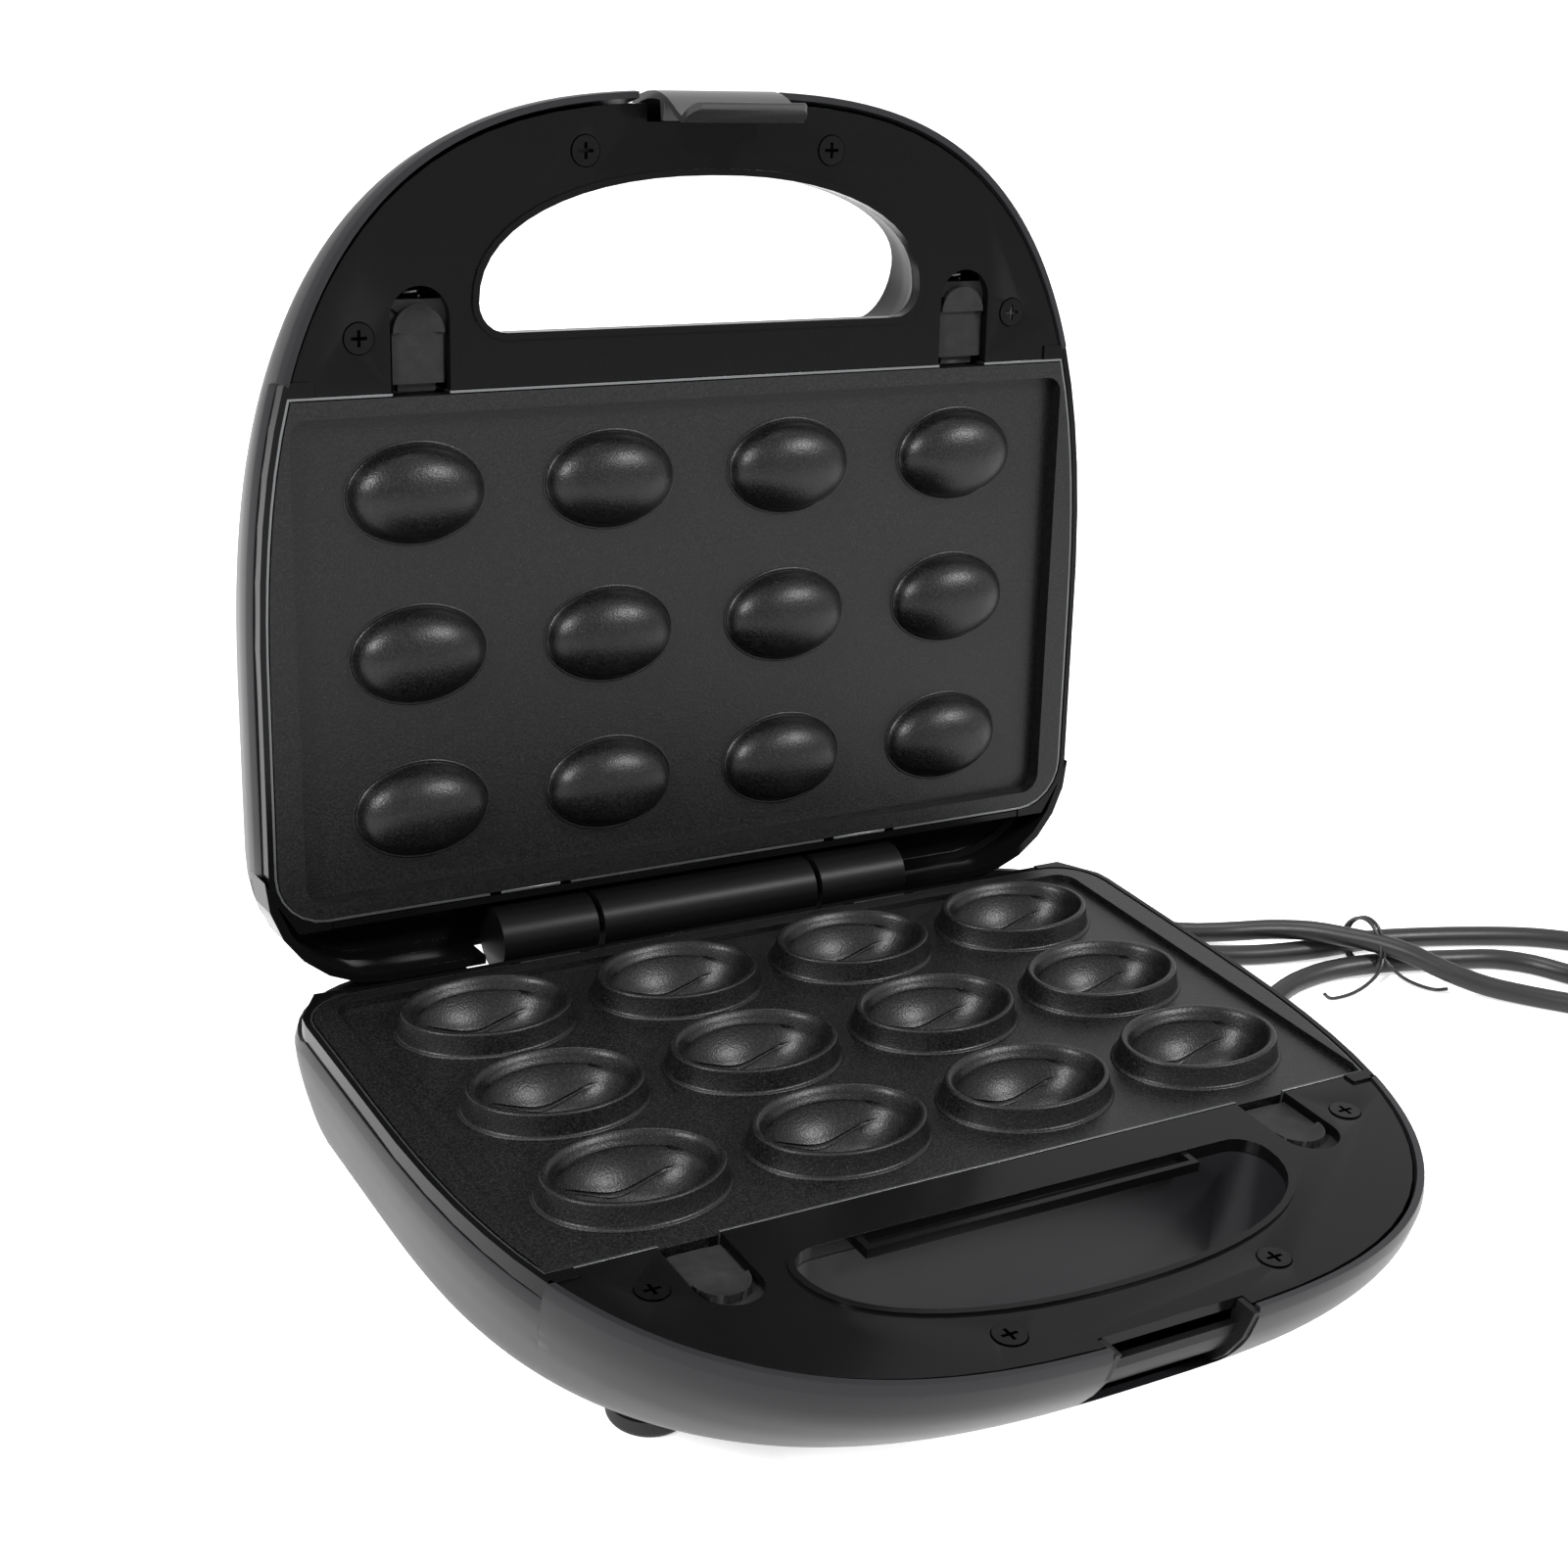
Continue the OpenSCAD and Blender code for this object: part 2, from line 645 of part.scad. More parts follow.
module tray_box_outline(inset) {
    a = tray_box - inset;
    d = tray_hd - inset;
    polygon([
        [6 - a, -d], [a - 6, -d], [a, 6 - d], [a, d - 6], [a - 6, d], [6 - a, d], [-a, d - 6], [-a, 6 - d]
    ]);
}

module lower_tray() color("#a9abad") in_base() tray(low_field, tray_floor, low_heater_u);

module upper_tray() color("#a9abad") in_lid() tray(up_field, upper_tray_floor, up_heater_u);

// Bent tubular heating element with its two cold ends
module heater(u) translate([0, 0, u]) {
    for (side = [-1, 1]) translate([0, side * heater_y, 0]) {
        x_cylinder(heater_r, heater_end_x, heater_bend_x);
        x_cylinder(heater_pin_r, heater_end_x - 9, heater_end_x + 1);
    }
    translate([heater_bend_x, 0, 0]) rotate([0, 0, -90]) rotate_extrude(angle = 180)
        translate([heater_y, 0]) circle(r = heater_r);
}

module lower_heater() color("#6d6f6c") in_base() heater(low_heater_u);

module upper_heater() color("#6d6f6c") in_lid() heater(up_heater_u);

// Saddles that carry a heating element on its tray
module heater_clamps(u, floor_u) for (x = clamp_xs, side = [-1, 1]) difference() {
    translate([x, side * heater_y, 0]) block(-clamp_w / 2, clamp_w / 2, -4, 4, u, floor_u);
    translate([x, side * heater_y, u]) x_cylinder(heater_r + 0.02, -clamp_w, clamp_w);
}

module lower_heater_clamps() color("#b5b7b9") in_base() heater_clamps(low_heater_u, tray_floor);

module upper_heater_clamps() color("#b5b7b9") in_lid() heater_clamps(up_heater_u, upper_tray_floor);

// Brackets on the trays' rear wall that hold the plate's rear edge
module plate_clips(field) for (side = [-1, 1]) translate([side * clip_x, 0, 0]) {
    w = bracket_hw;
    under = field + plate_t + 0.1;
    block(-w, w, plate_hd + 0.1, tray_hd, 0.4, field + plate_t + tray_gap + 1.2);
    block(-w, w, tray_hd - tray_t - 1, tray_hd - tray_t, under, bracket_deep);
    block(-w, w, plate_hd - 5, tray_hd - tray_t, under, under + 0.9);
}

module lower_plate_clips() color("#8e9092") in_base() plate_clips(low_field);

module upper_plate_clips() color("#8e9092") in_lid() plate_clips(up_field);

// Fasteners
module cover_screw() difference() {
    union() {
        translate([0, 0, deck_top]) cylinder(r1 = head_r, r2 = shank_r, h = 1.8);
        cylinder(r = shank_r, h = screw_len);
        translate([0, 0, deck_top - 0.3]) cylinder(r = head_r, h = 0.3 + eps);
    }
    for (a = [0, 90]) rotate([0, 0, a]) block(-1.9, 1.9, -0.4, 0.4, -1, deck_top + 1);
    translate([0, 0, -1]) cylinder(r = head_r + 1, h = 1 + deck_top - 0.3);
}

module cover_screws_at() for (p = cover_screws) translate([p[0], p[1], 0]) cover_screw();

module lower_cover_screws() color("#1a1a1a") in_base() cover_screws_at();

module upper_cover_screws() color("#1a1a1a") in_lid() cover_screws_at();

module tray_screws_at(floor_u) for (p = tray_posts) translate([p[0], p[1], floor_u]) {
    translate([0, 0, -2]) cylinder(r = tray_screw_head, h = 2);
    translate([0, 0, -eps]) cylinder(r = tray_screw_r, h = tray_screw_len);
}

module lower_tray_screws() color("#b0b2b4") in_base() tray_screws_at(tray_floor);

module upper_tray_screws() color("#b0b2b4") in_lid() tray_screws_at(upper_tray_floor);

// Feet pressed into the bottom
module feet() color("#17171a") for (x = [-foot_x, foot_x], y = [-foot_y, foot_y]) translate([x, y, 0])
    rotate_extrude() polygon(concat(
        [[0, 0], [foot_r - 2, 0]],
        arc_points(foot_r - 2, 2, 2, -60, 0, 4),
        [[foot_r, foot_h - 0.05], [foot_stem_r, foot_h - 0.05], [foot_stem_r, foot_h + 5], [0, foot_h + 5]]
    ));

// Hinge
module hinge_knuckles() color("#1d1d1f") difference() {
    for (side = [0, 1]) mirror([side, 0, 0]) {
        translate([0, hinge_y, hinge_z]) x_cylinder(barrel_r, knuckle_x0, barrel_half);
        block(knuckle_x0 + 2, barrel_half - 1.5, hinge_y - 4.5, hinge_y + 4.5, part_z - rear_deck, hinge_z);
    }
    translate([0, hinge_y, hinge_z]) x_cylinder(pin_r, -pin_end, pin_end);
    for (x = knuckle_screw_xs, side = [-1, 1])
        translate([side * x, hinge_y, part_z - rear_deck - 1]) cylinder(r = small_screw_r, h = 6);
}

module knuckle_screws() color("#b0b2b4") for (x = knuckle_screw_xs, side = [-1, 1])
    translate([side * x, hinge_y, part_z - rear_deck - rear_deck_t - small_head_h]) {
        cylinder(r = small_screw_r, h = small_head_h + rear_deck_t + small_thread);
        cylinder(r = small_head_r, h = small_head_h);
    }

module hinge_wires() color("#8c2f2a") translate([0, hinge_y, hinge_z]) for (side = [0, 1]) mirror([side, 0, 0])
    x_cylinder(pin_bore_r, barrel_mid - 10, pin_end - 1);

module hinge_pins() color("#9b9da0") translate([0, hinge_y, hinge_z]) for (side = [0, 1]) mirror([side, 0, 0])
    difference() {
        x_cylinder(pin_r, barrel_mid - 10, pin_end);
        x_cylinder(pin_bore_r, barrel_mid - 11, pin_end + 1);
    }

module hinge_barrel() color("#1d1d1f") in_lid() difference() {
    union() {
        translate([0, hinge_y, hinge_up]) x_cylinder(barrel_r, -barrel_mid, barrel_mid);
        block(3 - barrel_mid, barrel_mid - 3, hinge_y - 4.5, hinge_y + 4.5, hinge_up, lid_rear_deck);
    }
    translate([0, hinge_y, hinge_up]) x_cylinder(pin_r + pin_fit, -barrel_mid - 1, barrel_mid + 1);
    for (x = barrel_screw_xs) translate([x, hinge_y, lid_rear_deck - 5]) cylinder(r = small_screw_r, h = 6);
}

module barrel_screws() color("#b0b2b4") in_lid() for (x = barrel_screw_xs) translate([x, hinge_y, 0]) {
    translate([0, 0, lid_rear_deck - small_thread])
        cylinder(r = small_screw_r, h = small_thread + rear_deck_t + small_head_h);
    translate([0, 0, lid_rear_deck + rear_deck_t]) cylinder(r = small_head_r, h = small_head_h);
}

// Plate latches: tab, thumb end, flange under the deck, tongue and the lug that takes the spring
module latch() {
    translate([0, 0, 1.4]) linear_extrude(deck_low - 1.4 + 1)
        translate([0, thumb_y]) intersection() {
            circle(r = latch_w / 2);
            translate([-latch_w, -latch_w]) square([2 * latch_w, latch_w]);
        }
    block(-latch_w / 2, latch_w / 2, thumb_y - eps, -window_front - 1.6, 2.4, deck_low + 1);
    block(-8.6, 8.6, -latch_spring_y, -window_front - 1.6, deck_low + 0.3, latch_low);
    block(-4.6, 4.6, -window_front - 1.7, -plate_hd - 0.7, deck_low + 0.5, latch_low);
    block(-4, 4, -latch_spring_y, 2 - latch_spring_y, deck_low + 0.3, 9.4);
}

module latch_spring() translate([0, -latch_spring_y, latch_spring_u]) rotate([90, 0, 0])
    helix_spring(latch_spring_r, 0.35, latch_rib_y - latch_spring_y, 6);

module latch_lower_left() color("#3a3b3d") in_base() translate([-latch_x, 0, 0]) latch();

module latch_lower_right() color("#3a3b3d") in_base() translate([latch_x, 0, 0]) latch();

module latch_upper_left() color("#3a3b3d") in_lid() translate([-latch_x, 0, 0]) latch();

module latch_upper_right() color("#3a3b3d") in_lid() translate([latch_x, 0, 0]) latch();

module spring_lower_left() color("#c2c4c6") in_base() translate([-latch_x, 0, 0]) latch_spring();

module spring_lower_right() color("#c2c4c6") in_base() translate([latch_x, 0, 0]) latch_spring();

module spring_upper_left() color("#c2c4c6") in_lid() translate([-latch_x, 0, 0]) latch_spring();

module spring_upper_right() color("#c2c4c6") in_lid() translate([latch_x, 0, 0]) latch_spring();

// Closing clip, drawn closed with Z measured from the meeting plane
module clip_profile() polygon([
    [-clip_y - 1.6, clip_up + 2], [-clip_y - 4, clip_up + 0.6], [-clip_y - 7.2, clip_up - 2.2],
    [-clip_face - 0.4, 10.6], [-clip_face - 1.9, 7], [-clip_face - 2.7, 3.2], [-clip_face - 2.9, -0.4],
    [-clip_face - 2.5, -3.8], [-clip_face - 1.5, -7], [-clip_face - 0.1, -9.8], [-clip_face + 1.2, -12],
    [-clip_face + 2, 5.4 - clip_reach], [-clip_face + 2.2, 4.9 - clip_reach], [-clip_face + 1.9, 4.3 - clip_reach],
    [-clip_face - 0.9, 0.6 - clip_reach], [-clip_face - 0.9, 0.1 - clip_reach], [-clip_face - 0.4, -clip_reach],
    [-clip_face + 0.9, 0.6 - clip_reach], [-clip_face + 3.6, 4.2 - clip_reach], [-clip_face + 3.8, 5 - clip_reach],
    [-clip_face + 3.4, 6.4 - clip_reach], [-clip_face + 1.4, -9.4], [-clip_face + 0.3, -7],
    [-clip_face - 0.5, -5.6], [-catch_y + 1, -5.2], [-catch_y + 1, -4], [-clip_face - 0.9, -3.4],
    [-clip_face - 1.1, -0.2], [-clip_face - 0.9, 3], [-clip_face - 0.2, 6.4], [-clip_face + 1.2, 9.6],
    [-clip_y - 6, clip_up - 3], [-clip_y - 3.4, clip_up - 1.4], [-clip_y, clip_up - 1]
]);

module closing_clip() color("#2b2c2e") in_lid() difference() {
    intersection() {
        union() {
            along_x(clip_w) clip_profile();
            translate([0, -clip_y, clip_up]) x_cylinder(clip_barrel_r, -clip_w / 2, clip_w / 2);
        }
        hull() {
            block(-clip_w / 2, clip_w / 2, -body_front - 1, -clip_y + 4, clip_lip_r - clip_reach, clip_up + 4);
            for (side = [-1, 1]) translate([side * (clip_w / 2 - clip_lip_r), 0, clip_lip_r - clip_reach])
                y_cylinder(clip_lip_r, -body_front - 1, -clip_y + 4);
        }
    }
    translate([0, -clip_y, clip_up]) x_cylinder(clip_pin_r + clip_pin_fit, -clip_w, clip_w);
    block(-5, 5, -clip_y - clip_barrel_r - 0.3, -clip_y + 4, clip_up - 3.4, clip_up + 4);
}

module clip_pin() color("#b0b2b4") in_lid() translate([0, -clip_y, clip_up])
    x_cylinder(clip_pin_r, -clip_pin_half, clip_pin_half);

// Torsion spring as touching turns, with one leg on the clip and one on the housing
module clip_spring() color("#c2c4c6") in_lid() translate([0, -clip_y, clip_up]) {
    for (i = [-4:4]) translate([i * 0.9, 0, 0]) rotate([0, 90, 0]) rotate_extrude()
        translate([clip_pin_r + 0.65, 0]) circle(r = 0.5);
}

// Black insert that lines the opening for the clip: a panel between two cheeks
module catch_insert() color("#0f0f10") in_base() {
    along_x(2 * recess_hw + 2 * recess_wall) polygon([
        [-125.2, 5.8], [-124.7, 8.4], [-123.2, 11.6], [-121.2, 14.4], [-118.9, 16.8], [-117, 18.7], [-115.4, 20.2],
        [-113.6, 20.2], [-115.4, 18.4], [-117.4, 16.2], [-119.6, 13.6], [-121.5, 10.8], [-122.9, 8], [-123.4, 5.8]
    ]);
    for (side = [-1, 1]) translate([side * (recess_hw + recess_wall / 2), 0, 0]) along_x(recess_wall) polygon([
        [-129.4, 1], [-127, 8.5], [-123, 15], [-119.4, 18.8],
        [-116, 18.8], [-119.5, 13], [-122.9, 8], [-122.9, 3.5], [-123.9, 3.3], [-123.9, 1]
    ]);
}

// Parts inside the base
module thermal_fuse() color("#e8e2d0") in_base() translate([-20, 0, tray_floor + tray_t]) {
    translate([0, 0, 2.2]) x_cylinder(2, -9, 9);
    block(-3, 3, -1.5, 1.5, 0, 1);
}

module terminal_block() color("#ece9df") in_base() difference() {
    block(30, 62, terminal_y, terminal_y + 14, low_depth - skin_t - 10, low_depth - skin_t);
    for (x = terminal_xs) translate([x, 0, low_depth - skin_t - 5])
        y_cylinder(1.6, terminal_y - 4, terminal_y + 18);
}

module base_wires() color("#8c2f2a") in_base() {
    for (x = terminal_xs) translate([x, 0, low_depth - skin_t - 5])
        y_cylinder(1.6, terminal_y + 2, terminal_y + 25);
}

// Parts inside the lid
module thermostat() color("#d9d9d6") in_lid() translate([20, 0, upper_tray_floor + tray_t]) {
    cylinder(r = 8, h = 5);
    block(-12, 12, -3, 3, 0, 1.2);
}

module lens(x) translate([x, lamp_y, 0]) {
    translate([0, 0, lid_depth - skin_t - 1]) cylinder(r = lens_r + 1.2, h = 1);
    translate([0, 0, lid_depth - skin_t - eps]) cylinder(r = lens_r, h = skin_t + 0.4);
}

module power_lens() color("#c01818") in_lid() lens(lamp_xs[0]);

module ready_lens() color("#1a9a35") in_lid() lens(lamp_xs[1]);

module neon_lamps() color("#e9e4da") in_lid() for (x = lamp_xs)
    translate([x, lamp_y, lid_depth - skin_t - 13]) cylinder(r = 2.4, h = 12);

// Cord route: out of the gland, down to the table, three tied runs beside the base, then the plug
cord_route = [
    [70, 106, 20], [70, 107.2, 20], [70, 117, 18.3], [71, 126, 13.2], [74.5, 133.5, 7.4], [81, 140.3, 4], [91, 144.8, 3.1],
    [102.5, 145.6, 3.1], [114, 141.3, 3.1], [125, 132.5, 3.1], [135, 119, 3.1], [145, 105, 3.1], [156, 91, 3.1],
    [170, 79, 3.3], [182, 71, 5], [191, 63, 7.8], [199, 54, 10], [206, 46, 10.4], [212, 39, 10.4],
    [218, 31, 9.4], [225, 22, 6.5], [233, 14, 4.2], [242, 6, 3.2], [250, -2, 3.1], [258, -11, 3.1],
    [267, -18, 3.1], [278, -22, 3.1], [289, -19, 3.1], [297, -10, 3.1], [300, 2, 3.1], [298, 13, 3.1],
    [291, 22, 3.1], [282, 30, 3.1], [271, 37, 3.1], [254, 44, 3.1], [237, 49, 3.4], [221, 52, 3.9],
    [204, 53, 3.9], [187, 57, 3.1], [174, 61, 3.1], [162, 66, 3.1], [150, 67, 3.1], [139, 63, 3.1],
    [131.5, 54, 3.1], [130, 43, 3.1], [135, 33, 3.1], [146, 27, 3.1], [159, 29, 3.1], [168, 33.5, 3.1], [181, 39, 3.1],
    [196, 41, 3.4], [210, 39, 3.9], [224, 36, 3.7], [238, 33, 3.1], [250.5, 28.5, 3.1], [259.5, 21, 3.1],
    [265, 10, 3.6], [267, 0, 5.8], [268, -9, 8.6], [268, -18, 10], [268, -28, 10], [268, -38, 10]
];

function unit(v) = v / norm(v);

function route_ring(p, before, after, r, sides) =
    let (t = unit(after - before), side = unit(cross(t, [0, 0, 1])), up = cross(side, t))
    [for (k = [0:sides - 1]) p + r * cos(360 * k / sides) * side + r * sin(360 * k / sides) * up];

module tube_along(points, r, sides) {
    last = len(points) - 1;
    ring_body([for (i = [0:last])
        route_ring(points[i], points[max(i - 1, 0)], points[min(i + 1, last)], r, sides)]);
}

module power_cord() color("#141415") tube_along(cord_route, cord_r, 8);

module cord_gland() color("#141415") translate([cord_x, 0, cord_z]) difference() {
    rotate([-90, 0, 0]) rotate_extrude() polygon([
        [0, gland_y0 - 6.5], [gland_neck_r + 2, gland_y0 - 6.5], [gland_neck_r + 2, gland_y0 - 4],
        [gland_neck_r, gland_y0 - 4], [gland_neck_r, gland_y0 + 4.6], [gland_neck_r + 0.6, gland_y0 + 5],
        [gland_neck_r + 0.6, gland_y0 + 7], [cord_r + 0.7, gland_y0 + gland_len - 0.7],
        [cord_r + 0.7, gland_y0 + gland_len], [0, gland_y0 + gland_len]
    ]);
    y_cylinder(1, gland_y0 - 7.5, gland_y0 + 10);
}

module cord_tie() color("#101010") translate([213, 45.5, 0]) rotate([0, 0, -12])
    translate([-1, 0, 0]) rotate([90, 0, 90]) linear_extrude(2) difference() {
        tie_outline(1.1);
        tie_outline(0.6);
    }

module tie_outline(grow) hull() {
    translate([-7, 4]) circle(r = cord_r + grow, $fn = fn_blend);
    translate([-6.2, 10.4]) circle(r = cord_r + grow + 0.9, $fn = fn_blend);
    translate([7, 4]) circle(r = cord_r + grow, $fn = fn_blend);
}

module plug_body() color("#141415") translate([268, 0, 10]) {
    difference() {
        union() {
            block(-11, 11, -78, -56, -9.9, 8);
            translate([0, -56, 0]) rotate([90, 0, 0]) translate([0, 0, -18]) cylinder(r1 = cord_r + 0.7, r2 = 8, h = 18.5);
        }
        block(-30, 30, -90, -77, 9, 20);
    }
}

module plug_pins() color("#c9b26b") translate([268, -78, 10]) {
    for (x = [-6.35, 6.35]) block(x - 0.75, x + 0.75, -16, 0, -3.2, 3.2);
}

lower_housing();
lower_cover();
lower_plate();
lower_tray();
lower_heater();
lower_heater_clamps();
lower_plate_clips();
lower_cover_screws();
lower_tray_screws();
thermal_fuse();
terminal_block();
base_wires();
catch_insert();
feet();
hinge_knuckles();
knuckle_screws();
hinge_pins();
hinge_wires();
latch_lower_left();
latch_lower_right();
spring_lower_left();
spring_lower_right();
upper_housing();
upper_cover();
upper_plate();
upper_tray();
upper_heater();
upper_heater_clamps();
upper_plate_clips();
upper_cover_screws();
upper_tray_screws();
thermostat();
power_lens();
ready_lens();
neon_lamps();
hinge_barrel();
barrel_screws();
latch_upper_left();
latch_upper_right();
spring_upper_left();
spring_upper_right();
closing_clip();
clip_pin();
clip_spring();
cord_gland();
power_cord();
cord_tie();
plug_body();
plug_pins();
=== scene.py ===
import math

import bmesh
import bpy
from mathutils import Matrix, Vector


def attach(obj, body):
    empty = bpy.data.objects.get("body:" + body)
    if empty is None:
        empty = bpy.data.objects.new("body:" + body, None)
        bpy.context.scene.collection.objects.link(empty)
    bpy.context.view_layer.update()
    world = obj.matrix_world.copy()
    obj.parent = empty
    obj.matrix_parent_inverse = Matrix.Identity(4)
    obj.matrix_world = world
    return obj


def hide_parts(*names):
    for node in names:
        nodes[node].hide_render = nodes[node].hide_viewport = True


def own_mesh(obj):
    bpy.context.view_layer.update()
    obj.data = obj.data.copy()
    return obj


print("frame: loading the packed model")
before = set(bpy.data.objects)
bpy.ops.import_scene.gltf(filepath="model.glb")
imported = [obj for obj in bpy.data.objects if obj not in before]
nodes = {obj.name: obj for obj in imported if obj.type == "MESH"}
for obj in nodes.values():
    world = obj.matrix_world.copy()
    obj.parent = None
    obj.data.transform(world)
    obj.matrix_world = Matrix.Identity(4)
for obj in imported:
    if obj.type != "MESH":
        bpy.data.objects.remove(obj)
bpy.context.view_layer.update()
mm = 0.001
weld = 0.000002

# sizes shared by the two halves, in millimetres
body = dict(meet=43, halfWidth=116, front=150, middle=20, rear=80, cornerRadius=30, square=2.95, wall=2.2,
            hingeBack=74, hingeUp=1, openAngle=95.5, baseDepth=38.5, lidDepth=40)


class Wire:
    # a node socket that can take part in plain arithmetic
    def __init__(self, graph, socket):
        self.graph = graph
        self.socket = socket

    def maths(self, operation, other, swap=False):
        pair = [other, self] if swap else [self, other]
        return self.graph.node("ShaderNodeMath", dict(operation=operation), pair)

    def __add__(self, other):
        return self.maths("ADD", other)

    def __radd__(self, other):
        return self.maths("ADD", other)

    def __sub__(self, other):
        return self.maths("SUBTRACT", other)

    def __rsub__(self, other):
        return self.maths("SUBTRACT", other, True)

    def __mul__(self, other):
        return self.maths("MULTIPLY", other)

    def __rmul__(self, other):
        return self.maths("MULTIPLY", other)

    def above(self, low, high):
        return self.graph.node("ShaderNodeMapRange", dict(interpolation_type="SMOOTHSTEP"),
                               {"Value": self, "From Min": low, "From Max": high})


class Graph:
    # a node tree, with one way of making nodes
    def __init__(self, tree):
        self.tree = tree

    def node(self, kind, settings=None, values=None, out=0):
        made = self.tree.nodes.new(kind)
        for key, value in (settings or {}).items():
            setattr(made, key, value)
        pairs = values.items() if isinstance(values, dict) else enumerate(values or [])
        for key, value in pairs:
            if isinstance(value, Wire):
                self.tree.links.new(value.socket, made.inputs[key])
            else:
                made.inputs[key].default_value = value
        return Wire(self, made.outputs[out])

    def plainWhite(self):
        # one for rays from the camera, off a gloss or through a clear piece, and zero for the light of the scene
        rays = self.node("ShaderNodeLightPath").socket.node.outputs
        seen, mirrored, through = (Wire(self, rays[kind]) for kind in
                                   ("Is Camera Ray", "Is Glossy Ray", "Is Transmission Ray"))
        return seen.maths("MAXIMUM", mirrored).maths("MAXIMUM", through)


class Finish(Graph):
    # a material under construction
    def __init__(self, name, **fixed):
        self.material = bpy.data.materials.new(name)
        self.material.use_nodes = True
        super().__init__(self.material.node_tree)
        self.shader = self.tree.nodes["Principled BSDF"]
        for socket, value in fixed.items():
            self.shader.inputs[socket.replace("_", " ")].default_value = value

    def place(self, scale=(1, 1, 1)):
        # the piece's own coordinates
        return self.node("ShaderNodeMapping", None, {"Vector": self.node("ShaderNodeTexCoord", out=3), "Scale": scale})

    def noise(self, size, detail=3.0, rough=0.5, where=None):
        return self.node("ShaderNodeTexNoise", None, {"Vector": where or self.place(), "Scale": 1 / size,
                                                      "Detail": detail, "Roughness": rough})

    def cells(self, size):
        return self.node("ShaderNodeTexVoronoi", None, {"Vector": self.place(), "Scale": 1 / size})

    def blend(self, amount, first, second):
        # the colour sockets of a Mix node
        return self.node("ShaderNodeMix", dict(data_type="RGBA"), {0: amount, 6: first, 7: second}, 2)

    def link(self, socket, wire):
        self.tree.links.new(wire.socket, self.shader.inputs[socket])

    def bump(self, height, strength, distance):
        return self.node("ShaderNodeBump", None, {"Height": height, "Strength": strength, "Distance": distance})


def shade(r, g=None, b=None):
    # a colour, or a grey from one number
    return (r, r if g is None else g, r if b is None else b, 1.0)


def scaledTone(tone, share):
    return [c * share for c in tone[:3]] + [1]


print("finishes: moulded plastics, coating, metals")


def mouldedPlastic(name, dark, light, roughness, grain, grainDepth, specular=0.4, patchSize=0.05):
    f = Finish(name, Specular_IOR_Level=specular)
    patch = f.noise(patchSize, 2.0)
    fine = f.noise(grain, 2.0, 0.6)
    f.link("Base Color", f.blend(patch * 0.6 + fine * 0.4, dark, light))
    f.link("Roughness", patch * 0.08 + fine * 0.06 + (roughness - 0.07))
    f.link("Normal", f.bump(fine, 0.5, grainDepth))
    return f.material


plateLook = dict(dark=shade(0.001), light=shade(0.008, 0.008, 0.0087), fleck=shade(0.22), grain=0.0006,
                 sparkle=0.0008, specular=0.26, roughness=0.35, bump=0.9, relief=0.00009)


def coatedPlate():
    f = Finish("plateCoating", Specular_IOR_Level=plateLook["specular"])
    grain = f.noise(plateLook["grain"], 2.0, 0.7)
    sparkle = f.cells(plateLook["sparkle"])
    cloud = f.noise(0.03, 3.0)
    spots = (0.16 - sparkle).above(0.0, 0.12)
    tone = f.blend(grain.above(0.35, 0.7), plateLook["dark"], plateLook["light"])
    tone = f.blend(spots * 0.35 * cloud, tone, plateLook["fleck"])
    f.link("Base Color", tone)
    f.link("Roughness", grain * 0.16 + cloud * 0.06 + (plateLook["roughness"] - 0.11))
    f.link("Normal", f.bump(grain + spots * 0.5, plateLook["bump"], plateLook["relief"]))
    return f.material


def brushedSheet(name, tone, roughness, stretch=(1, 60, 60)):
    f = Finish(name, Metallic=1.0)
    lines = f.noise(0.02, 4.0, 0.65, f.place(stretch))
    stains = f.noise(0.012, 3.0)
    f.link("Base Color", f.blend(lines * 0.6 + stains * 0.4, scaledTone(tone, 0.75), tone))
    f.link("Roughness", lines * 0.18 + stains * 0.1 + (roughness - 0.14))
    f.link("Normal", f.bump(lines, 0.15, 0.00004))
    return f.material


def dullRubber(name, tone, roughness):
    f = Finish(name, Specular_IOR_Level=0.35)
    grain = f.noise(0.0008, 3.0, 0.6)
    dust = f.noise(0.014, 3.0)
    f.link("Base Color", f.blend(dust, tone, scaledTone(tone, 1.7)))
    f.link("Roughness", grain * 0.12 + dust * 0.1 + (roughness - 0.1))
    f.link("Normal", f.bump(grain, 0.3, 0.00006))
    return f.material


def clearLens(name, tone):
    f = Finish(name, Specular_IOR_Level=0.6, Transmission_Weight=0.25)
    ribs = f.node("ShaderNodeTexWave", dict(wave_type="RINGS"), {"Vector": f.place(), "Scale": 220.0})
    f.link("Base Color", f.blend(ribs, tone, scaledTone(tone, 0.6)))
    f.link("Roughness", ribs * 0.06 + 0.12)
    return f.material


